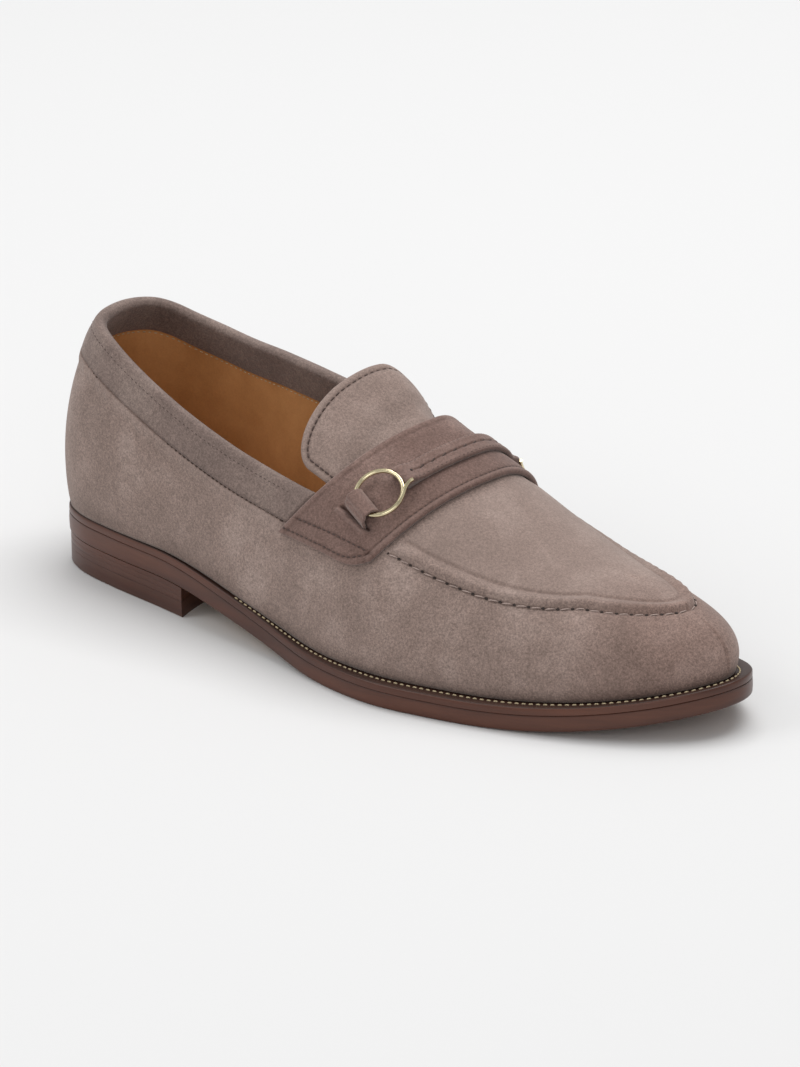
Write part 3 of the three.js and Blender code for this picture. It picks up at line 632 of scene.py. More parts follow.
def leather(name, dark, light, roughness, grain=900.0, streak=(1.0, 1.0, 1.0), depth=0.12, coat=0.0, waist=None):
    made, nodes, links, shader = finish_of(name)
    place = nodes.new("ShaderNodeTexCoord").outputs["Object"]
    drawn = nodes.new("ShaderNodeMapping")
    drawn.inputs["Scale"].default_value = streak
    links.new(place, drawn.inputs["Vector"])
    cloudy = noise(nodes, links, drawn.outputs["Vector"], 30.0, 4.0, 0.6)
    fine = noise(nodes, links, drawn.outputs["Vector"], grain, 3.0, 0.6)
    base = ramp(nodes, links, cloudy, [(0.3, dark), (0.7, light)])
    if waist:
        bare = ramp(nodes, links, cloudy, [(0.3, waist[0]), (0.7, waist[1])])
        base = mix(nodes, links, "MIX", waist_mask(nodes, links, place), base, bare)
    base = mix(nodes, links, "OVERLAY", 0.25, base, ramp(nodes, links, fine, [(0.3, (0.35,) * 3), (0.7, (0.65,) * 3)]))
    base = mix(nodes, links, "MULTIPLY", attribute(nodes, "shade"), base, (0.35, 0.3, 0.28))
    links.new(base, shader.inputs["Base Color"])
    spread = nodes.new("ShaderNodeMapRange")
    spread.inputs["To Min"].default_value = roughness - 0.08
    spread.inputs["To Max"].default_value = roughness + 0.1
    links.new(cloudy, spread.inputs["Value"])
    links.new(spread.outputs["Result"], shader.inputs["Roughness"])
    shader.inputs["Specular IOR Level"].default_value = 0.4
    if coat:
        shader.inputs["Coat Weight"].default_value = coat
        shader.inputs["Coat Roughness"].default_value = 0.25
    relief(nodes, links, shader, [(fine, 0.0002, depth)])
    return made


def metal(name, colour, roughness):
    made, nodes, links, shader = finish_of(name)
    place = nodes.new("ShaderNodeTexCoord").outputs["Object"]
    hazy = noise(nodes, links, place, 220.0, 3.0, 0.6)
    dim = tuple(0.8 * c for c in colour)
    links.new(ramp(nodes, links, hazy, [(0.35, dim), (0.6, colour)]), shader.inputs["Base Color"])
    shader.inputs["Metallic"].default_value = 1.0
    spread = nodes.new("ShaderNodeMapRange")
    spread.inputs["To Min"].default_value = roughness - 0.06
    spread.inputs["To Max"].default_value = roughness + 0.08
    links.new(hazy, spread.inputs["Value"])
    links.new(spread.outputs["Result"], shader.inputs["Roughness"])
    return made


def thread(name, colour):
    made, nodes, links, shader = finish_of(name)
    place = nodes.new("ShaderNodeTexCoord").outputs["Object"]
    twist = noise(nodes, links, place, 2600.0, 2.0, 0.6)
    dim = tuple(0.62 * c for c in colour)
    links.new(ramp(nodes, links, twist, [(0.35, dim), (0.62, colour)]), shader.inputs["Base Color"])
    shader.inputs["Roughness"].default_value = 0.75
    relief(nodes, links, shader, [(twist, 0.0002, 0.4)])
    return made


taupe = suede("taupe suede", (0.225, 0.164, 0.14), (0.262, 0.192, 0.165), (0.33, 0.25, 0.218))
strap_taupe = suede("strap suede", (0.155, 0.096, 0.08), (0.185, 0.117, 0.099), (0.25, 0.168, 0.144))
band_taupe = suede("band suede", (0.17, 0.124, 0.108), (0.2, 0.147, 0.128), (0.25, 0.19, 0.165))
tan_lining = leather("tan lining", (0.44, 0.21, 0.075), (0.66, 0.35, 0.145), 0.5, 1400.0, depth=0.08)
tan_sock = leather("tan sock", (0.38, 0.18, 0.06), (0.56, 0.29, 0.11), 0.5, 1200.0, depth=0.08)
tread_leather = leather("tread leather", (0.19, 0.10, 0.062), (0.25, 0.138, 0.087), 0.42, 700.0, depth=0.1)
sole_leather = leather("sole leather", (0.19, 0.10, 0.062), (0.25, 0.138, 0.087), 0.42, 700.0, depth=0.1,
                       waist=((0.36, 0.20, 0.075), (0.46, 0.265, 0.105)))
edge_leather = leather("waxed edge", (0.05, 0.0155, 0.0085), (0.12, 0.04, 0.021), 0.36, 500.0, (0.25, 0.25, 3.0), 0.1, 0.06)
welt_leather = leather("dark welt", (0.03, 0.013, 0.009), (0.06, 0.026, 0.017), 0.45, 500.0, depth=0.12)
tread_rubber = leather("brown rubber", (0.12, 0.062, 0.042), (0.16, 0.085, 0.057), 0.62, 500.0, depth=0.06)
brass = metal("pale brass", (0.78, 0.68, 0.44), 0.18)
taupe_thread = thread("taupe thread", (0.085, 0.053, 0.045))
pale_thread = thread("pale taupe thread", (0.47, 0.36, 0.32))
cream_thread = thread("cream thread", (0.66, 0.54, 0.34))
brown_thread = thread("brown thread", (0.06, 0.03, 0.02))
pit_dark = thread("pit shadow", (0.03, 0.018, 0.014))
nail_metal = metal("nail", (0.45, 0.36, 0.22), 0.4)

# Upper
THROAT_TURN = float(turn_of(THROAT / LENGTH))
ROUND_TURN = float(turn_of((THROAT - THROAT_ROUND) / LENGTH))
TURNS = np.concatenate([
    np.linspace(0, ROUND_TURN, 130)[:-1],
    turn_of((THROAT - THROAT_ROUND * (1 - np.sin(np.linspace(0, np.pi / 2, 40)[:-1]))) / LENGTH),
    np.linspace(THROAT_TURN, 1, 170),
])
LAST = len(TURNS) - 1


def seam_line(side, shift, height, first=None, last=1.0, count=500):
    """The apron seam on one side, moved up the leather by a shift, and the directions there."""
    first = THROAT_TURN if first is None else first
    turn = np.linspace(first, last, count)
    curve = rib(turn, side)
    seam = np.minimum(seam_of(turn, side), 0.62 * top_of(turn, side))
    length = np.linalg.norm(on_rib(curve, seam + 0.01) - on_rib(curve, seam - 0.01), axis=-1) / 0.02
    p, n = surface(turn, side, seam + shift / length)
    return p + n * height, n


SEAM_TURNS = np.linspace(THROAT_TURN, 1, 500)
SEAM_RUN = {}
for seam_side in (LATERAL, MEDIAL):
    seam_points, _ = seam_line(seam_side, 0.0, 0.0)
    seam_steps = np.linalg.norm(np.diff(seam_points, axis=0), axis=1)
    SEAM_RUN[seam_side] = np.append(np.cumsum(seam_steps[::-1])[::-1], 0.0)


def seam_distance(turn, side):
    """How far along the apron seam each turn is from the tip of the toe."""
    return np.interp(turn, SEAM_TURNS, SEAM_RUN[side])


SEAM_PITCH = 5.25


def roll_height(x, across, distance, run):
    """The apron's raised roll, gathered between its stitches, and the apron's own thickness."""
    fade = ease(0.4, 3.6, x - strap_front(across))
    lift = ease(-0.25, 0.4 * ROLL_WIDTH, distance) * ROLL_HEIGHT
    settle = ease(0.5 * ROLL_WIDTH, 1.25 * ROLL_WIDTH, distance) * (ROLL_HEIGHT - APRON_STEP)
    gather = 0.16 * np.cos(2 * np.pi * run / SEAM_PITCH) * hump(distance - 1.2, 1.3)
    foot = -0.35 * hump(distance + 0.5, 0.8)
    crease = -0.36 * hump(distance - 1.3 * ROLL_WIDTH, 0.75)
    crest = 0.22 * hump(distance - 0.55 * ROLL_WIDTH, 1.4)
    return fade * (lift - settle + gather + foot + crease + crest)


# Soft troughs: station, height up the rib, half length, half width, depth, lean
TROUGHS = [
    (0.42, 0.62, 16, 3.0, 0.35, 0.5), (0.47, 0.60, 14, 3.0, 0.30, 0.4), (0.37, 0.70, 18, 3.5, 0.30, 0.6),
    (0.30, 0.74, 16, 4.0, 0.25, 0.7), (0.615, 0.36, 20, 4.0, 0.45, -0.35), (0.66, 0.33, 22, 4.5, 0.40, -0.3),
    (0.57, 0.34, 16, 4.0, 0.30, -0.2), (0.15, 0.50, 22, 5.0, 0.30, 0.2), (0.08, 0.35, 18, 5.0, 0.25, 0.0),
]


def soft_forms(x, u, side):
    """Slow swells of the hide and the troughs where it has started to crease."""
    turned = side * (1 - u)
    slow = 0.2 * np.sin(x / 23.0 + 3.1 * u + turned) + 0.12 * np.sin(x / 11.0 - 5.0 * u + 2.0 * turned)
    total = slow * ease(0.0, 0.15, u)
    for share, height, half, width, depth, lean in TROUGHS:
        run = (x - share * LENGTH) - lean * (u - height) * 90
        rise = (u - height) * 90 + lean * (x - share * LENGTH) * 0.3
        total = total - depth * hump(run, width) * hump(rise, half)
        total = total + 0.5 * depth * hump(run - 2.2 * width, width) * hump(rise, half)
    return total


def skin_rows(turn, side):
    """Places up a rib, close together at the apron seam, at the band's edge and at the topline."""
    curve = rib(np.array([turn]), side)
    top = float(top_of(np.array([turn]), side)[0])
    seam = min(float(seam_of(turn, side)), 0.62 * top)
    length = float(np.linalg.norm(on_rib(curve, np.array([seam + 0.01])) - on_rib(curve, np.array([seam - 0.01]))) / 0.02)
    width = min(ROLL_WIDTH, (top - seam) * length / 2.6) / ROLL_WIDTH
    low = seam - 1.6 * width / length
    high = seam + 7.4 * width / length
    below = np.linspace(0, low, 26)[:-1]
    near = np.linspace(low, high, 26)
    above = high + (top - high) * np.linspace(0, 1, 34)[1:]
    u = np.concatenate([below, near, above])
    distance = (u - seam) * length / max(width, 0.2)
    return u, distance, top


def build_skin():
    points, faces, shade, patina, painted_highlight = [], [], [], [], []
    rings = {}
    base = 0
    for side in (LATERAL, MEDIAL):
        for i, turn in enumerate(TURNS):
            from_side = LATERAL if i in (0, LAST) else side
            u, distance, top = skin_rows(turn, from_side)
            turns = np.full(u.shape, turn)
            sides = np.full(u.shape, from_side)
            curve = rib(turns, sides)
            x = float(share_of(turn)) * LENGTH
            across = to_crest(curve, u)
            run = seam_distance(turn, from_side)
            height = roll_height(x, across, distance, run)
            down = across - across[-1]
            rim = 0.95 * ease(-0.35, 0.35, down - BINDING_OUTSIDE) * (1 - ease(1.2, 6.0, down - BINDING_OUTSIDE))
            gathered = 0.14 * np.sin(2 * np.pi * x / 6.3 + side) * hump(down - BINDING_OUTSIDE - 2.5, 2.0)
            behind = 1 - ease(-4, 1, x - strap_rear(across))
            height = height + (rim + gathered) * behind * (turn < THROAT_TURN)
            settled = ease(0, 3, down) if turn < THROAT_TURN else 1.0
            height = height + soft_forms(x, u, from_side) * settled * ease(0.0, 0.06, u)
            under_strap = ease(-6, 0, x - strap_rear(across)) * (1 - ease(0, 6, x - strap_front(across)))
            under_strap = under_strap * (across < STRAP_REACH_REAR + 3)
            height = np.where(under_strap > 0, np.minimum(height, height * (1 - under_strap)), height)
            lift = np.minimum(u, 1 - 1e-3) if turn >= 1 else u
            p, n = surface(turns, sides, lift)
            outer = p + n * height[:, None]
            inner_u = np.array([top, 0.8 * top, 0.5 * top, 0.2 * top, 0.0])
            if turn >= 1:
                inner_u = np.minimum(inner_u, 1 - 1e-3)
            q, m = surface(np.full(5, turn), np.full(5, from_side), inner_u)
            inner = q - m * (0.55 * WALL)
            outer[0, 2] = seat(outer[0, 0]) + SEAT
            inner[-1, 2] = seat(inner[-1, 0]) + SEAT
            rings[(side, i)] = base
            points.append(np.concatenate([outer, inner]))
            base += len(outer) + 5
            share = x / LENGTH
            # Painted shade: the crease inside the roll, the groove at the apron seam, darker towards the bottom of the
            # upper, and a dark line under the band's edge. Painted highlight: the apron lighter, and a light rim on
            # the quarter under the band.
            on_apron = ease(0, 6, x - strap_front(across)) * ease(3.0, 8.0, distance)
            toe = ease(0.80, 0.985, share) * (1 - 0.55 * on_apron)
            groove = hump(distance + 0.45, 0.55) * ease(0.4, 3.6, x - strap_front(across))
            low_edge = 0.38 * (1 - ease(0.0, 0.08, u))
            band_edge_shadow = 0.75 * hump(down - BINDING_OUTSIDE - 0.1, 0.5) * behind
            rim_light = 0.6 * hump(down - BINDING_OUTSIDE - 1.3, 0.8) * behind * (turn < THROAT_TURN)
            crease = 0.22 * hump(distance - 1.3 * ROLL_WIDTH, 0.7) * ease(0.4, 3.6, x - strap_front(across))
            shade.append(np.concatenate([np.clip(crease + 0.4 * groove + low_edge + band_edge_shadow, 0, 1), np.zeros(5)]))
            patina.append(np.concatenate([np.clip(0.5 * toe, 0, 1), np.zeros(5)]))
            painted_highlight.append(np.concatenate([np.clip(0.6 * on_apron * (1 - toe) + rim_light, 0, 1), np.zeros(5)]))
    rows = len(points[0])
    outer_rows = rows - 5
    for side in (LATERAL, MEDIAL):
        for i in range(LAST):
            a, b = rings[(side, i)], rings[(side, i + 1)]
            closed = TURNS[i] >= THROAT_TURN - 1e-9
            j = np.arange(rows)
            k = (j + 1) % rows
            quads = np.stack([a + j, b + j, b + k, a + k], -1)
            if closed:
                quads = np.delete(quads, outer_rows - 1, axis=0)
            faces.append(quads)
    return np.concatenate(points), np.concatenate(faces), {
        "shade": np.concatenate(shade), "patina": np.concatenate(patina), "painted_highlight": np.concatenate(painted_highlight)}


skin_points, skin_faces, skin_values = build_skin()
skin = piece("upper_suede", skin_points, skin_faces, taupe, skin_values, weld=0.002)
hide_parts("upper")


def build_lining():
    points, faces = [], []
    rings = {}
    base = 0
    levels = np.array([0, 0.1, 0.2, 0.32, 0.44, 0.56, 0.68, 0.8, 0.9, 0.96, 1])
    picked = np.arange(0, LAST + 1, 2)
    picked = np.unique(np.append(picked, [LAST, int(np.argmin(abs(TURNS - THROAT_TURN)))]))
    for side in (LATERAL, MEDIAL):
        for i in picked:
            turn = TURNS[i]
            from_side = LATERAL if i in (0, LAST) else side
            top = float(top_of(np.array([turn]), from_side)[0])
            if turn >= 1:
                top = 1 - 1e-3
            u = top * levels
            p, n = surface(np.full(u.shape, turn), np.full(u.shape, from_side), u)
            outer = p - n * (0.62 * WALL)
            inner = (p - n * WALL)[::-1]
            outer[0, 2] = seat(outer[0, 0]) + SEAT
            inner[-1, 2] = seat(inner[-1, 0]) + SEAT
            rings[(side, i)] = base
            points.append(np.concatenate([outer, inner]))
            base += 2 * len(levels)
    rows = 2 * len(levels)
    for side in (LATERAL, MEDIAL):
        for i, after in zip(picked[:-1], picked[1:]):
            a, b = rings[(side, i)], rings[(side, after)]
            j = np.arange(rows)
            k = (j + 1) % rows
            quads = np.stack([a + j, b + j, b + k, a + k], -1)
            if TURNS[i] >= THROAT_TURN - 1e-9:
                quads = np.delete(quads, len(levels) - 1, axis=0)
            faces.append(quads)
    return np.concatenate(points), np.concatenate(faces)


lining_points, lining_faces = build_lining()
lining = piece("lining", lining_points, lining_faces, tan_lining,
               {"shade": np.zeros(len(lining_points))}, weld=0.002)


# Folded band round the collar
def top_across(turn, side):
    turn = np.asarray(turn, float)
    return to_crest(rib(turn, side), top_of(turn, side))


def band_end(side, down):
    x = STRAP_REAR
    for _ in range(12):
        turn = turn_of(np.array([x / LENGTH]))
        goal = float(strap_rear(top_across(turn, side)[0] + down)) - 2 * CLEARANCE
        x += (goal - x) / 2
    return float(turn_of(x / LENGTH))


def build_band():
    out, inn = CLEARANCE, -WALL - CLEARANCE
    fold = CLEARANCE + BINDING
    bulge = np.linspace(0, np.pi, 9)[1:-1]
    middle = (out + BINDING + inn - BINDING) / 2
    half = (out + BINDING - inn + BINDING) / 2
    section = [(BINDING_OUTSIDE, out)]
    for share, thick in ((1.0, 0.35), (0.97, 0.6), (0.9, 0.75), (0.75, 0.85), (0.6, 0.95), (0.45, 1.0), (0.3, 1.0), (0.15, 1.0), (0.05, 1.0)):
        section.append((BINDING_OUTSIDE * share, out + BINDING * thick))
    section += [(-fold * math.sin(a), middle + half * math.cos(a)) for a in bulge]
    for share, thick in ((0.05, 1.0), (0.3, 1.0), (0.6, 1.0), (0.85, 1.0), (0.97, 0.9), (1.0, 0.4)):
        section.append((BINDING_INSIDE * share, inn - BINDING * thick))
    section += [(BINDING_INSIDE, inn), (BINDING_INSIDE / 2, inn), (-CLEARANCE, inn), (-CLEARANCE, out), (BINDING_OUTSIDE / 2, out)]
    section = np.array(section)
    steps = 150
    rows, shade = [], []
    for side in (LATERAL, MEDIAL):
        ends = np.array([band_end(side, down) for down in section[:, 0]])
        ways = np.linspace(1, 0, steps) if side == LATERAL else np.linspace(0, 1, steps)[1:]
        for way in ways:
            turn = way * ends
            curve = rib(turn, side)
            top = top_of(turn, side)
            slope = on_rib(curve, top) - on_rib(curve, top - 0.01)
            u = np.minimum(top, top - section[:, 0] / (np.linalg.norm(slope, axis=-1) / 0.01))
            p, n = surface(turn, side, u)
            x = p[:, 0]
            wave = 0.12 * np.sin(x / 4.7 + side) * np.sin(x / 17.0) * hump(section[:, 0] - 7.5, 4.0)
            on_top = (section[:, 1] > out + 0.2)
            p = p + n * (section[:, 1] + wave * on_top)[:, None]
            p = p + unit(slope) * np.maximum(-section[:, 0], 0)[:, None]
            rows.append(p)
            # Painted shade: the band darker inside the collar, and a dark line along its outer edge.
            inside = (section[:, 1] < middle)
            shade.append(0.35 * inside + 0.5 * hump(section[:, 0] - BINDING_OUTSIDE, 0.8) * on_top)
    points = np.array(rows)
    m, n = points.shape[:2]
    faces = grid_quads(m, n, wrap_columns=True).tolist()
    faces.append(list(range(n)))
    faces.append([(m - 1) * n + j for j in range(n)][::-1])
    return points.reshape(-1, 3), faces, np.array(shade).ravel()


band_points, band_faces, band_shade = build_band()
flat_values = lambda n: {"shade": np.zeros(n), "patina": np.zeros(n), "painted_highlight": np.zeros(n)}
band_values = flat_values(len(band_points))
band_values["shade"] = band_shade
band = piece("collar_band", band_points, band_faces, band_taupe, band_values)
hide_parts("collar_binding")


def collar_line(down, height, ends, count=700):
    """A line round the collar at a distance below the topline, from the lateral end to the medial one."""
    turn_l, turn_m = np.linspace(ends[0], 0, count), np.linspace(0, ends[1], count)[1:]
    points, normals = [], []
    for turn, side in ((turn_l, LATERAL), (turn_m, MEDIAL)):
        curve = rib(turn, side)
        top = top_of(turn, side)
        slope = np.linalg.norm(on_rib(curve, top) - on_rib(curve, top - 0.01), axis=-1) / 0.01
        p, n = surface(turn, side, top - down / slope)
        points.append(p + n * height)
        normals.append(n)
    return np.concatenate(points), np.concatenate(normals)


OUTSIDE_ENDS = [band_end(side, BINDING_OUTSIDE) - 0.004 for side in (LATERAL, MEDIAL)]
INSIDE_ENDS = [0.93 * band_end(side, BINDING_INSIDE) for side in (LATERAL, MEDIAL)]
stitches("collar_stitches", collar_line(BINDING_OUTSIDE + 0.3, 0.62, OUTSIDE_ENDS), 2.3, 1.6, 0.3, 0.05, brown_thread)
stitches("collar_edge_stitches", collar_line(2.6, CLEARANCE + BINDING, OUTSIDE_ENDS), 2.3, 1.5, 0.16, -0.02, taupe_thread)
lining_line, lining_out = collar_line(BINDING_INSIDE + 1.6, -WALL - 0.02, INSIDE_ENDS)
stitches("lining_stitches", (lining_line, -lining_out), 2.3, 1.4, 0.22, 0.08, cream_thread)


# Apron seam
def bare_seam(side, shift, height):
    """The apron seam from the saddle strap's front edge to the tip of the toe."""
    p, n = seam_line(side, shift, height, float(turn_of(0.5)))
    turns = np.linspace(float(turn_of(0.5)), 1, len(p))
    curve = rib(turns, side)
    across = to_crest(curve, np.minimum(seam_of(turns, side), 0.62 * top_of(turns, side)))
    bare = share_of(turns) * LENGTH > strap_front(across) + 1.2
    return p[bare], n[bare]


for seam_side, seam_name in ((LATERAL, "lateral"), (MEDIAL, "medial")):
    low_line = bare_seam(seam_side, -0.5, -0.12)
    dots(f"apron_holes_{seam_name}", low_line, SEAM_PITCH, 0.5, pit_dark, start=0.0, length=1.3, lift=0.08)
    stitches(f"apron_threads_{seam_name}", low_line, SEAM_PITCH, 3.7, 0.26, 0.16, pale_thread, 0.12)


# Tongue
def spaced(count, fine):
    """Shares from 0 to 1, with a few close together at both ends."""
    middle = np.linspace(fine[-1], 1 - fine[-1], count)
    return np.concatenate([fine[:-1], middle, 1 - np.array(fine[:-1])[::-1]])


def rounded(edge, thick, radius):
    """Height of a sheet whose edge is turned over with a radius."""
    return thick - radius * (1 - np.sqrt(1 - (1 - np.clip(edge / radius, 0, 1)) ** 2))


def resampled(line, step):
    """A flat line with its points at even steps."""
    lengths = np.concatenate([[0], np.cumsum(np.linalg.norm(np.diff(line, axis=0), axis=1))])
    places = np.linspace(0, lengths[-1], max(2, int(lengths[-1] / step)))
    return np.stack([np.interp(places, lengths, line[:, k]) for k in range(2)], -1)


def inset_line(line, gap):
    """A flat line moved to its left by a gap."""
    way = unit(np.gradient(line, axis=0))
    return line + np.stack([-way[:, 1], way[:, 0]], -1) * gap


def distance_to(x, across, line):
    """Least distance from each place to a line, on the leather laid flat."""
    flat = np.stack([x.ravel(), across.ravel()], -1)
    best = np.full(len(flat), 1e9)
    for start, end in zip(line[:-1], line[1:]):
        way = end - start
        share = np.clip((flat - start) @ way / max(way @ way, 1e-12), 0, 1)
        best = np.minimum(best, np.linalg.norm(flat - start - share[:, None] * way, axis=1))
    return best.reshape(x.shape)


EDGE_X = np.linspace(90, 200, 441)
EDGE_ACROSS = {side: top_across(turn_of(EDGE_X / LENGTH), side) for side in (LATERAL, MEDIAL)}


def collar_across(x, across):
    return np.where(across < 0, np.interp(x, EDGE_X, EDGE_ACROSS[LATERAL]), np.interp(x, EDGE_X, EDGE_ACROSS[MEDIAL]))


def tongue_free(station):
    return ease(STRAP_REAR - 7, TONGUE_END, station)


def tongue_place(station, v):
    """Station and distance across of a place on the tongue, from its row and its share of the width."""
    into = np.clip((TONGUE_END + TONGUE_CORNER - station) / TONGUE_CORNER, 0, 1)
    taper = 1 - 0.35 * ease(STRAP_REAR - 12, THROAT + 14, station)
    half = (TONGUE_MEDIAL + TONGUE_LATERAL) / 2 * taper * np.power(1 - 0.97 * into ** 2.2, 1 / 2.2)
    across = (TONGUE_MEDIAL - TONGUE_LATERAL) / 2 * taper + v * half + 1e-6
    return station + TONGUE_SLANT * (across + TONGUE_LATERAL) * tongue_free(station), across


def tongue_height(x, across):
    """Height of the tongue's face: free end raised and tilted, sides tucked under the collar."""
    station = x + 0.0
    for _ in range(30):
        station = x - TONGUE_SLANT * (across + TONGUE_LATERAL) * tongue_free(station)
    opened = ease(STRAP_REAR - 7, STRAP_REAR - 19, station)
    edge = collar_across(x, across)
    tucked = ease(edge - 14 + 9 * opened, edge - 4 + 3 * opened, np.abs(across))
    under_band = (BINDING + CLEARANCE) * (1 - ease(STRAP_REAR - 6, STRAP_REAR + 2, x))
    tilt = TONGUE_TILT * ease(-TONGUE_LATERAL / 2, TONGUE_MEDIAL, across)
    raised = (TONGUE_RISE + tilt) * tongue_free(station) - (TONGUE_GAP + WALL) * (1 - opened)
    return raised * (1 - tucked) - (WALL + TONGUE_GAP + under_band) * tucked


def tongue_border():
    side = TONGUE_END + (STRAP_REAR + 6 - TONGUE_END) * np.linspace(1, 0, 160) ** 2
    end = np.full(20, TONGUE_END)
    station = np.concatenate([side, end, side[::-1]])
    v = np.concatenate([np.ones(160), np.linspace(1, -1, 22)[1:-1], -np.ones(160)])
    return resampled(np.stack(tongue_place(station, v), -1), 0.5)


TONGUE_BORDER = tongue_border()


def build_tongue():
    front = THROAT + 14
    u = np.concatenate([np.linspace(0, 0.94, 66)[:-1], np.linspace(0.94, 1, 10)])
    station = front + (TONGUE_END - front) * np.sin(u * np.pi / 2)
    v = 2 * spaced(64, [0, 0.003, 0.008, 0.016, 0.026, 0.04]) - 1
    station, v = np.meshgrid(station, v, indexing="ij")
    x, across = tongue_place(station, v)
    height = tongue_height(x, across)
    border = distance_to(x, across, TONGUE_BORDER)
    relief_line = -0.32 * hump(border - 3.1, 0.6) + 0.14 * hump(border - 1.5, 0.9)
    edge_turn = rounded(border, TONGUE, 1.0) - TONGUE
    dome = 0.4 * np.sin(across / 13.0 + x / 17.0) * ease(0, 8, border)
    top, _ = over(x, across, height + edge_turn + relief_line + dome)
    bottom, _ = over(x, across, height - TONGUE)
    points, faces = sheet_body(top, bottom)
    # Painted shade along the stitch groove, at the turned edge and on the underside; painted highlight over the face,
    # strongest on its turned edge.
    line = 0.5 * hump(border - 3.1, 0.55) + 0.25 * hump(border, 0.5)
    shade = np.concatenate([line, np.zeros_like(line) + 0.3], axis=1)
    light = np.concatenate([0.3 + 0.3 * hump(border - 1.4, 1.0), np.zeros_like(line)], axis=1)
    return points, faces, {"shade": shade.ravel(), "patina": np.zeros(shade.size), "painted_highlight": light.ravel()}


tongue_points, tongue_faces, tongue_values = build_tongue()
tongue = piece("tongue_suede", tongue_points, tongue_faces, taupe, tongue_values)
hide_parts("tongue")


def tongue_line(gap, lift):
    """A line inside the tongue's edge, where the collar leaves it bare."""
    flat = inset_line(TONGUE_BORDER, gap)
    x, across = flat[:, 0], flat[:, 1]
    bare = (np.abs(across) < collar_across(x, across) - 2) & (x < strap_rear(across) + 2)
    first, last = np.flatnonzero(bare)[[0, -1]]
    x, across = x[first:last], across[first:last]
    return over(x, across, tongue_height(x, across) + lift)


stitches("tongue_stitches", tongue_line(3.1, -0.2), 2.6, 1.9, 0.26, 0.08, taupe_thread)


# Saddle strap
BAR_PLACE = RING_CENTRE - NECK_LENGTH + 0.75
FOLD_REACH = 1.15
FOLD_HEIGHT = RING_HEIGHT + 1.85
NARROW = BIT_STRAP_WIDTH + 0.5


def strap_reach(u):
    corner = STRAP_CORNER * np.maximum(0, (u - 0.7) / 0.3) ** 3
    return STRAP_REACH_REAR + (STRAP_REACH_FRONT - STRAP_REACH_REAR) * u - corner


def strap_place(u, v):
    across = v * strap_reach(u) + 1e-6
    rear = strap_rear(across)
    return rear + (strap_front(across) - rear) * u, across


def strap_edge(u, v):
    return resampled(np.stack(strap_place(np.asarray(u, float), np.asarray(v, float)), -1), 0.5)


EVEN = np.linspace(0, 1, 200)
STRAP_FRONT_LINE = strap_edge(np.ones(200), 2 * EVEN - 1)
STRAP_REAR_LINE = strap_edge(np.zeros(200), 1 - 2 * EVEN)
STRAP_END_LINES = {MEDIAL: strap_edge(1 - EVEN, np.ones(200)), LATERAL: strap_edge(EVEN, -np.ones(200))}
STRAP_SECOND_LINES = {}
for strap_side in (LATERAL, MEDIAL):
    level = strap_side * (STRAP_REACH_REAR - 8.4 + (STRAP_REACH_FRONT - STRAP_REACH_REAR) * EVEN)
    second_x = strap_rear(level) + (strap_front(level) - strap_rear(level)) * (0.04 + 0.90 * EVEN)
    STRAP_SECOND_LINES[strap_side] = resampled(np.stack([second_x, level], -1), 0.5)
SLIT_FROM_RING = RING_RADIUS + 3.2
SLIT_HALF = 7.6


def strap_profile(x, across):
    """Height of the strap's face: turned rim, stitched grooves, the lip of the slit; with its painted shade and
    painted highlight.
    """
    front = distance_to(x, across, STRAP_FRONT_LINE)
    rear = distance_to(x, across, STRAP_REAR_LINE)
    ends = [distance_to(x, across, line) for line in STRAP_END_LINES.values()]
    end = np.minimum(*ends)
    sides = np.minimum(front, rear)
    border = np.minimum(sides, end)
    height = rounded(np.minimum(border, 6), STRAP, 0.9)
    height = height + 0.14 * hump(front - 1.0, 0.7) - 0.26 * hump(front - 2.1, 0.38)
    height = height - 0.1 * hump(rear - 2.4, 0.45) - 0.22 * hump(end - 2.2, 0.42)
    second = np.minimum(*[distance_to(x, across, line) for line in STRAP_SECOND_LINES.values()])
    height = height - 0.26 * hump(second, 0.5)
    from_ring = np.abs(across) - RING_CENTRE - SLIT_FROM_RING
    across_slit = np.abs(x - bit_middle(across))
    inside = 1 - ease(SLIT_HALF - 1.0, SLIT_HALF + 0.6, across_slit)
    height = height - 1.4 * hump(from_ring, 0.6) * inside + 1.15 * hump(from_ring - 1.7, 0.8) * inside
    height = height + 0.2 * hump(from_ring + 3.0, 2.0) * inside
    height = height + 0.16 * np.sin(across / 9.0) * np.sin(x / 7.0) * ease(2, 6, border)
    # Painted shade in the stitch grooves and the slit, and a painted shadow beside the narrow strap; painted highlight
    # on the rims, the front edge and the slit's lip.
    line = 0.6 * hump(front - 2.1, 0.38) + 0.4 * hump(rear - 2.4, 0.4) + 0.45 * hump(end - 2.2, 0.4)
    line = line + 0.55 * hump(second, 0.4) + 1.0 * hump(from_ring, 0.6) * inside
    beside = np.abs(across_slit - NARROW / 2 - 0.35)
    line = line + 0.4 * hump(beside, 0.45) * (np.abs(across) < BAR_PLACE + FOLD_REACH)
    rim = 0.5 * hump(front - 1.2, 0.8) + 0.25 * hump(border - 0.9, 0.9) + 1.0 * hump(from_ring - 1.8, 0.8) * inside
    return height, np.clip(line, 0, 1), np.clip(rim, 0, 1)


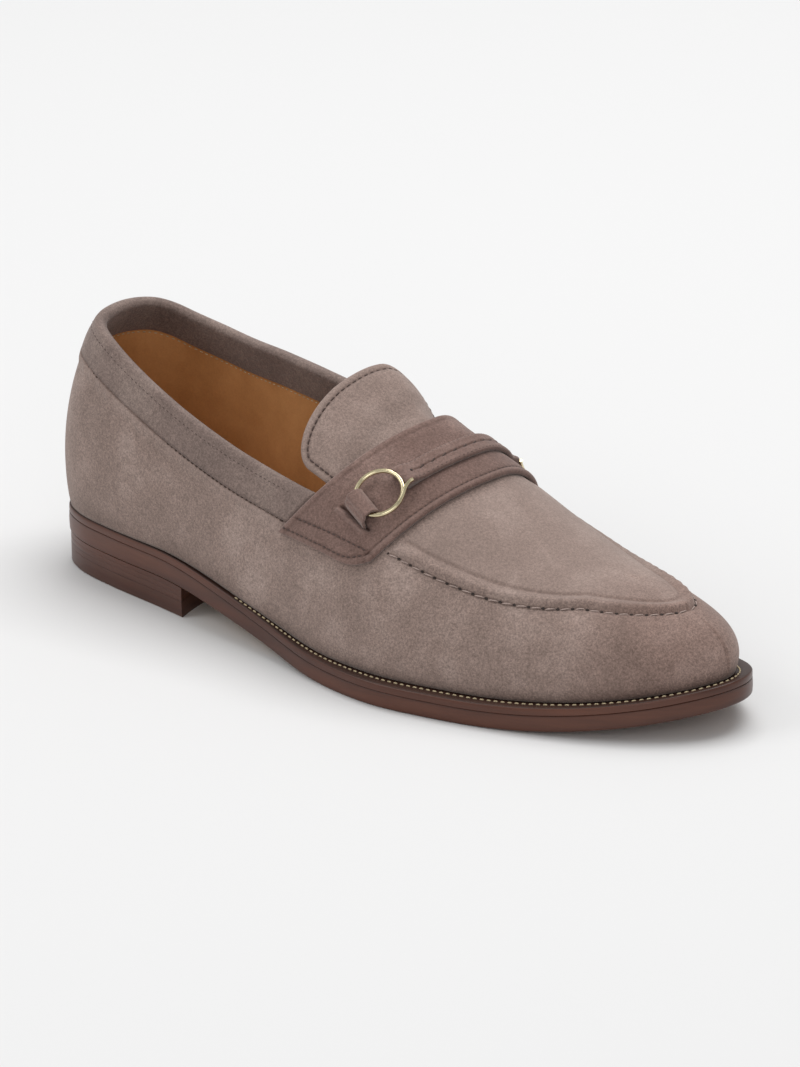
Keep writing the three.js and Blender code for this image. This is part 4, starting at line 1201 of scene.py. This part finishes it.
def build_strap():
    v = 2 * spaced(230, [0, 0.0012, 0.003, 0.006, 0.009, 0.013, 0.018]) - 1
    u = spaced(50, [0, 0.005, 0.012, 0.022, 0.035, 0.05, 0.07])
    v, u = np.meshgrid(v, u, indexing="ij")
    x, across = strap_place(u, v)
    height, line, rim = strap_profile(x, across)
    top, _ = over(x, across, CLEARANCE + height)
    bottom, _ = over(x, across, CLEARANCE)
    points, faces = sheet_body(top, bottom)
    # Painted shade on the strap's underside; painted highlight on its face.
    shade = np.concatenate([line, np.zeros_like(line) + 0.4], axis=1)
    light = np.concatenate([rim, np.zeros_like(line)], axis=1)
    return points, faces, {"shade": shade.ravel(), "patina": np.zeros(shade.size), "painted_highlight": light.ravel()}


strap_points, strap_faces, strap_values = build_strap()
strap = piece("strap_suede", strap_points, strap_faces, strap_taupe, strap_values)
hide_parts("saddle_strap")


def strap_line(line, gap, lift, trim=0):
    flat = inset_line(line, gap)
    flat = flat[trim:len(flat) - trim]
    return over(flat[:, 0], flat[:, 1], CLEARANCE + STRAP + lift)


stitches("strap_front_stitches", strap_line(STRAP_FRONT_LINE, 2.1, -0.18, 14), 2.2, 1.5, 0.2, 0.05, taupe_thread)
for end_side, end_name in ((LATERAL, "lateral"), (MEDIAL, "medial")):
    end_line = STRAP_END_LINES[end_side]
    stitches(f"strap_end_{end_name}", strap_line(end_line, 2.2, -0.16, 5), 2.4, 1.7, 0.25, 0.07, taupe_thread)
    stitches(f"strap_second_{end_name}", strap_line(STRAP_SECOND_LINES[end_side], 0.0, -0.2, 3), 2.4, 1.7, 0.25, 0.07, taupe_thread)


# Narrow strap between the rings
def narrow_top(across):
    """Height of the narrow strap's face, which climbs over the ring's bar and turns down behind it."""
    plain = STRAP_TOP + CLEARANCE + BIT_STRAP
    beyond = np.abs(across) - BAR_PLACE
    climb = plain + (FOLD_HEIGHT - plain) * ease(-6.5, -0.6, beyond)
    drop = FOLD_REACH * (1 - np.sqrt(np.maximum(1 - (np.clip(beyond, 0, FOLD_REACH) / FOLD_REACH) ** 2, 0)))
    return climb - drop


def build_bit_strap():
    half = BAR_PLACE + FOLD_REACH
    v = np.linspace(0, 1, 130)
    v = np.concatenate([-half + 7 * (v[:30] / v[30]) ** 1.4, np.linspace(-half + 7, half - 7, 90), half - 7 * (v[:30] / v[30])[::-1] ** 1.4])
    u = spaced(26, [0, 0.01, 0.03, 0.06, 0.1])
    across, u = np.meshgrid(v, u, indexing="ij")
    across = across + 1e-6
    off = (u - 0.5) * NARROW
    edge = NARROW / 2 - np.abs(off)
    end = half - np.abs(across)
    groove = hump(off, 0.42) * ease(4.0, 6.0, end)
    face = rounded(edge, 0.8, 0.8) - 0.8 + 0.14 * hump(edge - 1.2, 0.7) - 0.4 * groove
    face = face + 0.12 * np.cos(2 * np.pi * across / 4.8) * hump(np.abs(off) - 0.9, 0.8)
    base = STRAP_TOP + CLEARANCE
    x = bit_middle(across) + off
    top, _ = over(x, across, np.maximum(narrow_top(across) + face, base + 0.25))
    bottom, _ = over(x, across, base)
    points, faces = sheet_body(top, bottom)
    # Painted shade in the central groove and at the edges and underside; painted highlight over the face, strongest
    # along its rounded edges.
    line = 0.6 * groove + 0.2 * hump(edge, 0.3)
    shade = np.concatenate([line, np.zeros_like(line) + 0.4], axis=1)
    light = np.concatenate([0.25 + 0.5 * hump(edge - 0.7, 0.6), np.zeros_like(line)], axis=1)
    return points, faces, {"shade": shade.ravel(), "patina": np.zeros(shade.size), "painted_highlight": light.ravel()}


narrow_points, narrow_faces, narrow_values = build_bit_strap()
narrow = piece("narrow_strap", narrow_points, narrow_faces, strap_taupe, narrow_values)
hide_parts("bit_strap")


def narrow_line(off, lift, first, last, count=160):
    across = np.linspace(first, last, count) + 1e-6
    return over(bit_middle(across) + off, across, narrow_top(across) + lift)


stitches("narrow_hand_stitches", narrow_line(0.0, -0.24, -BAR_PLACE + 5.5, BAR_PLACE - 5.5), 4.8, 3.2, 0.28, 0.06, taupe_thread, 0.45)
for edge_side, edge_name in ((1, "front"), (-1, "rear")):
    edge_line = narrow_line(edge_side * (NARROW / 2 - 0.7), -0.12, -BAR_PLACE + 2, BAR_PLACE - 2)
    stitches(f"narrow_{edge_name}_stitches", edge_line, 1.9, 1.35, 0.2, 0.08, taupe_thread)
for hole_side in (-1, 1):
    hole_line = narrow_line(0.0, 0.0, hole_side * (BAR_PLACE - 4.4), hole_side * (BAR_PLACE - 3.0), 12)
    dots(f"narrow_hole_{hole_side + 1}", hole_line, 2.0, 0.55, pit_dark)


# Rings and their loops
def ring_frame(side):
    def at(distance, height):
        p, _ = over(bit_middle(distance), side * distance, height)
        return p

    origin = at(RING_CENTRE, RING_HEIGHT)
    out = unit(at(RING_CENTRE, RING_HEIGHT + 1) - origin)
    away = at(RING_CENTRE + 4, RING_HEIGHT) - at(RING_CENTRE - 4, RING_HEIGHT)
    away = unit(away - out * np.dot(away, out))
    forward = np.cross(away, out)
    place = (origin + SHIFT) / 1000
    return Matrix([
        [forward[0], away[0], out[0], place[0]],
        [forward[1], away[1], out[1], place[1]],
        [forward[2], away[2], out[2], place[2]],
        [0, 0, 0, 1],
    ])


def wire(name, points, radius, material, closed=False):
    curve = bpy.data.curves.new(name, "CURVE")
    curve.dimensions = "3D"
    curve.bevel_depth = radius / 1000
    curve.bevel_resolution = 5
    curve.resolution_u = 12
    curve.use_fill_caps = True
    spline = curve.splines.new("NURBS")
    spline.points.add(len(points) - 1)
    for target, (x, y, z) in zip(spline.points, points):
        target.co = (x / 1000, y / 1000, z / 1000, 1)
    spline.order_u = 4
    spline.use_endpoint_u = True
    made = bpy.data.objects.new(name, curve)
    bpy.context.scene.collection.objects.link(made)
    bpy.ops.object.select_all(action="DESELECT")
    made.select_set(True)
    bpy.context.view_layer.objects.active = made
    bpy.ops.object.convert(target="MESH")
    return bpy.context.view_layer.objects.active


def settle_piece(made, matrix, material):
    """Puts a finished piece's place into its mesh and lets it ride on the shoe."""
    made.data.transform(matrix @ made.matrix_world)
    made.matrix_world = Matrix.Identity(4)
    made.data.materials.clear()
    made.data.materials.append(material)
    shape = bmesh.new()
    shape.from_mesh(made.data)
    bmesh.ops.recalc_face_normals(shape, faces=shape.faces)
    for face in shape.faces:
        face.smooth = True
    shape.to_mesh(made.data)
    shape.free()
    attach(made, "root")
    return made


def build_ring(side, name, node):
    matrix = ring_frame(side)
    bpy.ops.object.select_all(action="DESELECT")
    bpy.ops.mesh.primitive_torus_add(major_radius=RING_RADIUS / 1000, minor_radius=RING_WIRE / 1000,
                                     major_segments=96, minor_segments=20)
    loop = bpy.context.active_object
    half = 0.5 * BIT_STRAP_WIDTH
    thin = 0.85 * RING_WIRE
    parts = [loop]
    forwards = -1 if side == LATERAL else 1
    for way in (forwards,):
        places = RING_RADIUS * np.array([
            [0.97, 0.30, 0.00], [1.00, 0.05, 0.00], [0.97, -0.25, 0.01], [0.83, -0.60, 0.03],
            [0.64, -0.86, 0.05], [0.52, -1.05, 0.05], [0.46, -1.22, 0.04], [0.46, -1.40, 0.02],
        ])
        fine = np.linspace(0, len(places) - 1, 31)
        neck = [smooth(np.arange(len(places)), places[:, k])(fine) for k in range(3)]
        points = [(way * x, y, z) for x, y, z in zip(*neck)]
        parts.append(wire("neck", points, thin, brass))
    bar = [(x, -NECK_LENGTH, -0.3) for x in np.linspace(-half, half, 5)]
    parts.append(wire("bar", bar, thin, brass))
    bpy.ops.object.select_all(action="DESELECT")
    for part in parts:
        part.select_set(True)
    bpy.context.view_layer.objects.active = loop
    bpy.ops.object.join()
    made = bpy.context.view_layer.objects.active
    made.name = name
    settle_piece(made, matrix, brass)
    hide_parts(node)
    return made


ring_lateral = build_ring(LATERAL, "ring_lateral", "bit_ring_lateral")
ring_medial = build_ring(MEDIAL, "ring_medial", "bit_ring_medial")


def build_loop(side, name, node):
    """The suede loop folded round the ring: a strip whose ends go down through the slit."""
    gap = RING_WIRE + CLEARANCE
    width = TAB_WIDTH + 1.8
    sag = RING_RADIUS - math.sqrt(RING_RADIUS ** 2 - (width / 2) ** 2)
    tail = RING_RADIUS + TAB_TAIL
    centre_line = [
        (tail + 0.7, -gap - 0.9 * TAB - 2.2), (tail + 0.5, -gap - 0.9 * TAB), (tail + 0.1, 0.3 - gap + 0.3 * TAB), (RING_RADIUS + 0.9 * gap, 0.35 * gap),
        (RING_RADIUS + 0.3 * gap, gap + 0.5 * TAB), (RING_RADIUS - 1.2, gap + 0.62 * TAB),
        (RING_RADIUS - gap - sag + 0.4, gap + 0.42 * TAB), (RING_RADIUS - gap - sag - 0.5, 0.45 * gap), (RING_RADIUS - gap - sag - 0.9, -0.5 * gap), (RING_RADIUS - gap - sag - 0.6, -gap - 0.2 * TAB),
    ]
    line = np.array(centre_line)
    steps = np.concatenate([[0], np.cumsum(np.linalg.norm(np.diff(line, axis=0), axis=1))])
    fine = np.linspace(0, steps[-1], 40)
    fy, fz = smooth(steps, line[:, 0])(fine), smooth(steps, line[:, 1])(fine)
    tangent = unit(np.stack([np.gradient(fy), np.gradient(fz)], -1))
    normal = np.stack([tangent[:, 1], -tangent[:, 0]], -1)
    widths = spaced(14, [0, 0.03, 0.07, 0.12]) * width - width / 2
    edge = width / 2 - np.abs(widths)
    thick = rounded(edge, 0.5 * TAB, 0.45) + 0.1 * hump(edge - 0.9, 0.5)
    outer = np.stack([
        np.broadcast_to(widths, (40, len(widths))),
        fy[:, None] - normal[:, :1] * thick[None, :],
        fz[:, None] - normal[:, 1:] * thick[None, :]], -1)
    inner = np.stack([
        np.broadcast_to(widths, (40, len(widths))),
        fy[:, None] + normal[:, :1] * 0.5 * TAB + 0 * thick[None, :],
        fz[:, None] + normal[:, 1:] * 0.5 * TAB + 0 * thick[None, :]], -1)
    points, faces = sheet_body(outer, inner)
    matrix = np.array(ring_frame(side))
    place = points @ matrix[:3, :3].T + matrix[:3, 3] * 1000 - SHIFT
    values = flat_values(len(place))
    # Painted highlight: the loops lighter all over.
    values["painted_highlight"] += 0.25
    made = piece(name, place, faces, strap_taupe, values)
    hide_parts(node)
    return made


loop_lateral = build_loop(LATERAL, "loop_lateral", "ring_tab_lateral")
loop_medial = build_loop(MEDIAL, "loop_medial", "ring_tab_medial")


# Bottom
def ring_points(inset, height, turns):
    share = share_of(turns)
    gap = inset(share) if callable(inset) else inset
    lateral, _ = outline(turns, LATERAL, gap)
    gap_back = inset(share[1:-1]) if callable(inset) else inset
    medial, _ = outline(turns[1:-1], MEDIAL, gap_back)
    loop = np.concatenate([lateral, medial[::-1]])
    return np.concatenate([loop, height(loop[:, 0])[:, None]], -1)


def cap_quads(n, start, flip):
    i = np.arange(n // 2)
    quads = np.stack([i, i + 1, (n - i - 1) % n, (n - i) % n], -1) + start
    return quads[:, ::-1] if flip else quads


def turned_body(rings, caps=(True, True)):
    points = np.concatenate(rings)
    n = len(rings[0])
    faces = [grid_quads(len(rings), n, wrap_columns=True)]
    if caps[0]:
        faces.append(cap_quads(n, 0, True))
    if caps[1]:
        faces.append(cap_quads(n, (len(rings) - 1) * n, False))
    return points, [list(dict.fromkeys(face)) for group in faces for face in group.tolist()]


BOTTOM_TURNS = np.linspace(0, 1, 150)


def sole_top(x):
    return seat(x) - WELT


CHANNEL = 9.6
WAIST_END = 116.0


def build_sole_edge():
    """The outsole's side, softly rounded, with its underside and its flat top."""
    t = BOTTOM_TURNS
    curve = np.linspace(0, np.pi / 2, 6)
    rings, shade = [], []
    # Painted shade in the channel and along the edge, darkest at its top under the welt.
    for inset, depth in ((18.2, 0), (11.4, 0), (CHANNEL + 0.45, 0), (CHANNEL + 0.2, 0.5), (CHANNEL - 0.2, 0.5), (CHANNEL - 0.45, 0), (5.0, 0)):
        rings.append(ring_points(inset, lambda x, d=depth: under(x) + d * ease(WAIST_END - 4, WAIST_END, x), t))
        shade.append(0.6 * depth * ease(WAIST_END - 4, WAIST_END, rings[-1][:, 0]))
    for a in curve:
        rings.append(ring_points(0.9 * (1 - math.sin(a)), lambda x, a=a: under(x) + 0.9 * (1 - math.cos(a)), t))
        shade.append(0.25)
    for share in (0.35, 0.65, 0.9):
        rings.append(ring_points(-0.12 * math.sin(math.pi * share), lambda x, s=share: under(x) + 0.9 + (sole_top(x) - under(x) - 1.3) * s, t))
        shade.append(0.1 * share)
    rings.append(ring_points(0.0, lambda x: sole_top(x) - 0.3, t))
    shade.append(0.5)
    rings.append(ring_points(0.35, sole_top, t))
    shade.append(0.5)
    rings.append(ring_points(lambda s: reach(s) + 3.4, sole_top, t))
    shade.append(0.5)
    rings.append(ring_points(lambda s: reach(s) + 3.4, seat, t))
    shade.append(0.5)
    points, faces = turned_body(rings)
    return points, faces, np.concatenate([np.broadcast_to(value, len(rings[0])) for value in shade])


sole_points, sole_faces, sole_shade = build_sole_edge()
outsole = piece("outsole_leather", sole_points, sole_faces, sole_leather, {"shade": sole_shade}, angle=40)
outsole.data.materials.append(edge_leather)
underside = 7 * 2 * (len(BOTTOM_TURNS) - 1)
strips = len(sole_points) // (2 * (len(BOTTOM_TURNS) - 1)) - 1
for polygon in outsole.data.polygons:
    if underside - 2 * (len(BOTTOM_TURNS) - 1) <= polygon.index < strips * 2 * (len(BOTTOM_TURNS) - 1):
        polygon.material_index = 1 if polygon.index >= underside else 0
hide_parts("outsole")


def build_welt():
    t = BOTTOM_TURNS
    inner = lambda s: reach(s) + 3.1
    rings = [
        ring_points(0.1, lambda x: sole_top(x) + 0.1, t),
        ring_points(0.02, lambda x: sole_top(x) + 0.45, t),
        ring_points(0.0, lambda x: sole_top(x) + 1.2, t),
        ring_points(0.05, lambda x: seat(x) - 0.6, t),
        ring_points(0.25, lambda x: seat(x) - 0.2, t),
        ring_points(0.7, seat, t),
        ring_points(lambda s: np.maximum(reach(s) * 0.55, 0.75), lambda x: seat(x) - 0.12, t),
        ring_points(lambda s: np.maximum(reach(s) - 0.4, 0.8), lambda x: seat(x) - 0.35, t),
        ring_points(inner, lambda x: seat(x) - 0.02, t),
        ring_points(inner, lambda x: sole_top(x) + 0.1, t),
    ]
    points = np.concatenate(rings)
    faces = grid_quads(len(rings), len(rings[0]), wrap_rows=True, wrap_columns=True)
    return points, faces, np.zeros(len(points))


welt_points, welt_faces, welt_shade = build_welt()
welt = piece("welt_leather", welt_points, welt_faces, edge_leather, {"shade": welt_shade}, angle=50)
welt.data.materials.append(welt_leather)
for polygon in welt.data.polygons:
    if polygon.normal.z > 0.6:
        polygon.material_index = 1
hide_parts("welt")


def welt_line(side, first, last, share, count=900):
    turns = np.linspace(first, last, count)
    flat, _ = outline(turns, side, np.maximum(reach(share_of(turns)) * share, 0.8))
    points = np.concatenate([flat, (seat(flat[:, 0]) - 0.25)[:, None]], -1)
    return points, np.broadcast_to([0.0, 0.0, 1.0], points.shape)


for welt_side, welt_name in ((LATERAL, "lateral"), (MEDIAL, "medial")):
    welt_first = float(turn_of(0.36))
    welt_stitches = welt_line(welt_side, welt_first, 1.0, 0.72)
    stitches(f"welt_stitches_{welt_name}", welt_stitches, 2.6, 1.75, 0.34, 0.14, cream_thread)


def heel_plan(inset, start, end):
    side_steps, front_steps = 40, 24
    first = float(turn_of(max(start, 0) / LENGTH))
    turns = first + (float(turn_of(end / LENGTH)) - first) * np.arange(side_steps + 1) / side_steps
    begin = 0 if start > 0 else 1
    medial, _ = outline(turns, MEDIAL, inset)
    lateral, _ = outline(turns, LATERAL, inset)
    plan = list(medial[::-1][:side_steps + 1 - begin])
    if start <= 0:
        plan.append(outline(np.array([0.0]), MEDIAL, inset)[0][0])
    plan += list(lateral[begin:])
    a, b = plan[-1], plan[0]
    for i in range(1, front_steps):
        u = i / front_steps
        p = a * (1 - u) + b * u
        if end >= HEEL_LENGTH:
            p = p - np.array([BREAST_HOLLOW * 4 * u * (1 - u), 0])
        plan.append(p)
    return np.array(plan)


def build_heel_slice(name, start, end, levels, bottom, top, material, node):
    """A slice of the heel: its plan drawn in, extruded up through its layers and bevelled."""
    plan = heel_plan(0.4, start, end)
    n = len(plan)
    low, high = bottom(plan[:, 0]), top(plan[:, 0])
    rings, shade = [], []
    for share, inset in levels:
        moved = heel_plan(0.4 + inset, start, end)
        z = low + (high - low) * share
        rings.append(np.concatenate([moved, z[:, None]], -1))
        # Painted shade in the grooves between the layers.
        shade.append(0.35 if inset > 0.03 else 0.0)
    points = np.concatenate(rings)
    faces = grid_quads(len(rings), n, wrap_columns=True).tolist()
    faces.append(list(range(n)))
    faces.append([(len(rings) - 1) * n + j for j in range(n)][::-1])
    made = piece(name, points, faces, material, {"shade": np.repeat(shade, n)}, angle=35)
    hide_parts(node)
    return made


layer = [(0.0, 0.0), (0.985, 0.0), (1.0, 0.0)]
for cut in (0.36, 0.7):
    layer[1:1] = [(cut - 0.02, 0.0), (cut, 0.05), (cut + 0.02, 0.0)]
layer.sort()
stack = build_heel_slice("heel_layers", 0, HEEL_LENGTH, layer, lambda x: 0 * x + TOP_PIECE + SEAT, lambda x: under(x) - SEAT,
                         edge_leather, "heel_stack")
plain = [(0.0, 0.45), (0.04, 0.15), (0.1, 0.0), (0.97, 0.0), (1.0, 0.04)]
tread_rear = build_heel_slice("heel_tread_rear", 0, TOP_PIECE_SEAM - 0.02, plain, lambda x: 0 * x, lambda x: 0 * x + TOP_PIECE,
                              edge_leather, "top_piece_rear")
tread_front = build_heel_slice("heel_tread_front", TOP_PIECE_SEAM, HEEL_LENGTH, plain, lambda x: 0 * x, lambda x: 0 * x + TOP_PIECE,
                               edge_leather, "top_piece_front")
for tread, below in ((tread_rear, tread_rubber), (tread_front, tread_leather)):
    tread.data.materials.append(below)
    for polygon in tread.data.polygons:
        if polygon.normal.z < -0.7:
            polygon.material_index = 1


def bottom_line(inset, first, last, raise_by, count=600):
    """A line under the outsole at an inset from its edge, from one side round the toe to the other."""
    turns = np.linspace(first, 1, count)
    lateral, _ = outline(turns, LATERAL, inset)
    medial, _ = outline(np.linspace(1, last, count)[1:], MEDIAL, inset)
    flat = np.concatenate([lateral, medial])
    points = np.concatenate([flat, (under(flat[:, 0]) + raise_by)[:, None]], -1)
    return points, np.broadcast_to([0.0, 0.0, -1.0], points.shape)


waist_turn = float(turn_of((WAIST_END + 2) / LENGTH))
stitches("channel_stitches", bottom_line(CHANNEL, waist_turn, waist_turn, 0.4), 5.2, 4.2, 0.34, 0.0, brown_thread)
stitches("channel_ends", bottom_line(CHANNEL, waist_turn, waist_turn, 0.32), 5.2, 0.9, 0.3, 0.0, cream_thread, margin=2.6)
for mark_side, mark_name in ((LATERAL, "lateral"), (MEDIAL, "medial")):
    mark, _ = outline(np.array([float(turn_of((WAIST_END - 1) / LENGTH))]), mark_side, CHANNEL)
    spokes = []
    for k in range(5):
        angle = math.pi * (k + 0.3) / 5
        way = np.array([math.cos(angle), math.sin(angle), 0]) * 2.6
        centre = np.array([mark[0, 0], mark[0, 1], 0.0])
        spoke = centre + way * np.linspace(-1, 1, 9)[:, None]
        spoke[:, 2] = under(spoke[:, 0]) - 0.02
        spokes.append(spoke)
    down = np.broadcast_to([0.0, 0.0, -1.0], (5, 9, 3))
    mark_points, mark_faces = tubes(np.array(spokes), down, 0.3 * np.sqrt(np.maximum(1 - np.linspace(-1, 1, 9) ** 2, 0.1)), 0.4)
    piece(f"waist_mark_{mark_name}", mark_points, mark_faces, brown_thread)


def build_nails():
    """Small flat nail heads in the front of the heel's tread."""
    heel_axis = edge_point(turn_of(np.array([0.18])), LATERAL)[0, 1] + edge_point(turn_of(np.array([0.18])), MEDIAL)[0, 1]
    made = []
    for x in (42.0, 64.0):
        for side in (-1, 1):
            bpy.ops.object.select_all(action="DESELECT")
            place = (np.array([x, heel_axis / 2 + side * 24.5, 0.35]) + SHIFT) / 1000
            bpy.ops.mesh.primitive_cylinder_add(vertices=24, radius=0.0011, depth=0.0007, location=place)
            made.append(bpy.context.active_object)
    bpy.ops.object.select_all(action="DESELECT")
    for nail in made:
        nail.select_set(True)
    bpy.context.view_layer.objects.active = made[0]
    bpy.ops.object.join()
    nails = bpy.context.view_layer.objects.active
    nails.name = "heel_nails"
    return settle_piece(nails, Matrix.Identity(4), nail_metal)


build_nails()


def build_insole():
    t = BOTTOM_TURNS
    side = lambda s: reach(s) + WALL + CLEARANCE
    base = lambda x: seat(x) + SEAT
    rings = [
        ring_points(side, base, t),
        ring_points(side, lambda x: base(x) + INSOLE - 0.8, t),
        ring_points(lambda s: side(s) + 0.4, lambda x: base(x) + INSOLE - 0.15, t),
        ring_points(lambda s: side(s) + 1.2, lambda x: base(x) + INSOLE, t),
        ring_points(lambda s: side(s) + 12, lambda x: base(x) + INSOLE, t),
    ]
    return turned_body(rings)


insole_points, insole_faces = build_insole()
insole = piece("sock", insole_points, insole_faces, tan_sock, {"shade": np.zeros(len(insole_points))}, angle=40)
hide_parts("insole")

# Stage, light and camera
RIGHT = Vector((0.76345274, 0.64584746, -0.0045795))
DOWN = Vector((0.19503028, -0.23729214, -0.95165941))
FORWARD = Vector((-0.61571349, 0.72565384, -0.30712114))
PHOTO_LENS = 5012.41 * 36 / 1067
eye = (Vector((1750.57, -1805.90, 943.92)) + Vector(SHIFT)) / 1000

camera_data = bpy.data.cameras.new("camera")
camera = bpy.data.objects.new("camera", camera_data)
bpy.context.scene.collection.objects.link(camera)
bpy.context.scene.camera = camera
aim = Vector((0.004, 0.0, 0.040))
forward = (aim - eye).normalized()
right = RIGHT - forward * RIGHT.dot(forward)
right.normalize()
up = right.cross(forward)
camera.matrix_world = Matrix([
    [right.x, up.x, -forward.x, eye.x],
    [right.y, up.y, -forward.y, eye.y],
    [right.z, up.z, -forward.z, eye.z],
    [0, 0, 0, 1],
])
camera_data.sensor_fit = "AUTO"
camera_data.sensor_width = 36
camera_data.lens = PHOTO_LENS * 1.46
camera_data.clip_start, camera_data.clip_end = 0.05, 60

floor_material, floor_nodes, floor_links, floor_shader = finish_of("pale floor")
floor_shader.inputs["Base Color"].default_value = (0.76, 0.76, 0.76, 1)
floor_shader.inputs["Roughness"].default_value = 0.9
floor_shader.inputs["Specular IOR Level"].default_value = 0.05
bpy.ops.object.select_all(action="DESELECT")
bpy.ops.mesh.primitive_plane_add(size=24, location=(0, 0, 0))
floor = bpy.context.active_object
floor.name = "floor"
floor.data.materials.append(floor_material)

world = bpy.data.worlds.new("studio")
bpy.context.scene.world = world
world.use_nodes = True
world.node_tree.nodes["Background"].inputs["Color"].default_value = (1, 1, 1, 1)
world.node_tree.nodes["Background"].inputs["Strength"].default_value = 0.46


def softbox(name, place, target, size, power, colour=(1, 1, 1)):
    data = bpy.data.lights.new(name, "AREA")
    data.shape = "RECTANGLE"
    data.size, data.size_y = size
    data.energy = power
    data.color = colour
    made = bpy.data.objects.new(name, data)
    made.location = place
    made.rotation_euler = (Vector(target) - Vector(place)).to_track_quat("-Z", "Y").to_euler()
    bpy.context.scene.collection.objects.link(made)
    return made


softbox("overhead", (-0.1, 0.8, 2.3), (0, 0, 0), (2.2, 1.6), 44.5)
softbox("key", (-1.0, -1.3, 1.3), (0, 0, 0.03), (1.2, 1.2), 8)
softbox("front", (1.3, -1.7, 1.0), (0, 0, 0.03), (1.4, 1.0), 8)
bpy.context.scene.view_settings.view_transform = "Standard"
bpy.context.scene.view_settings.look = "None"
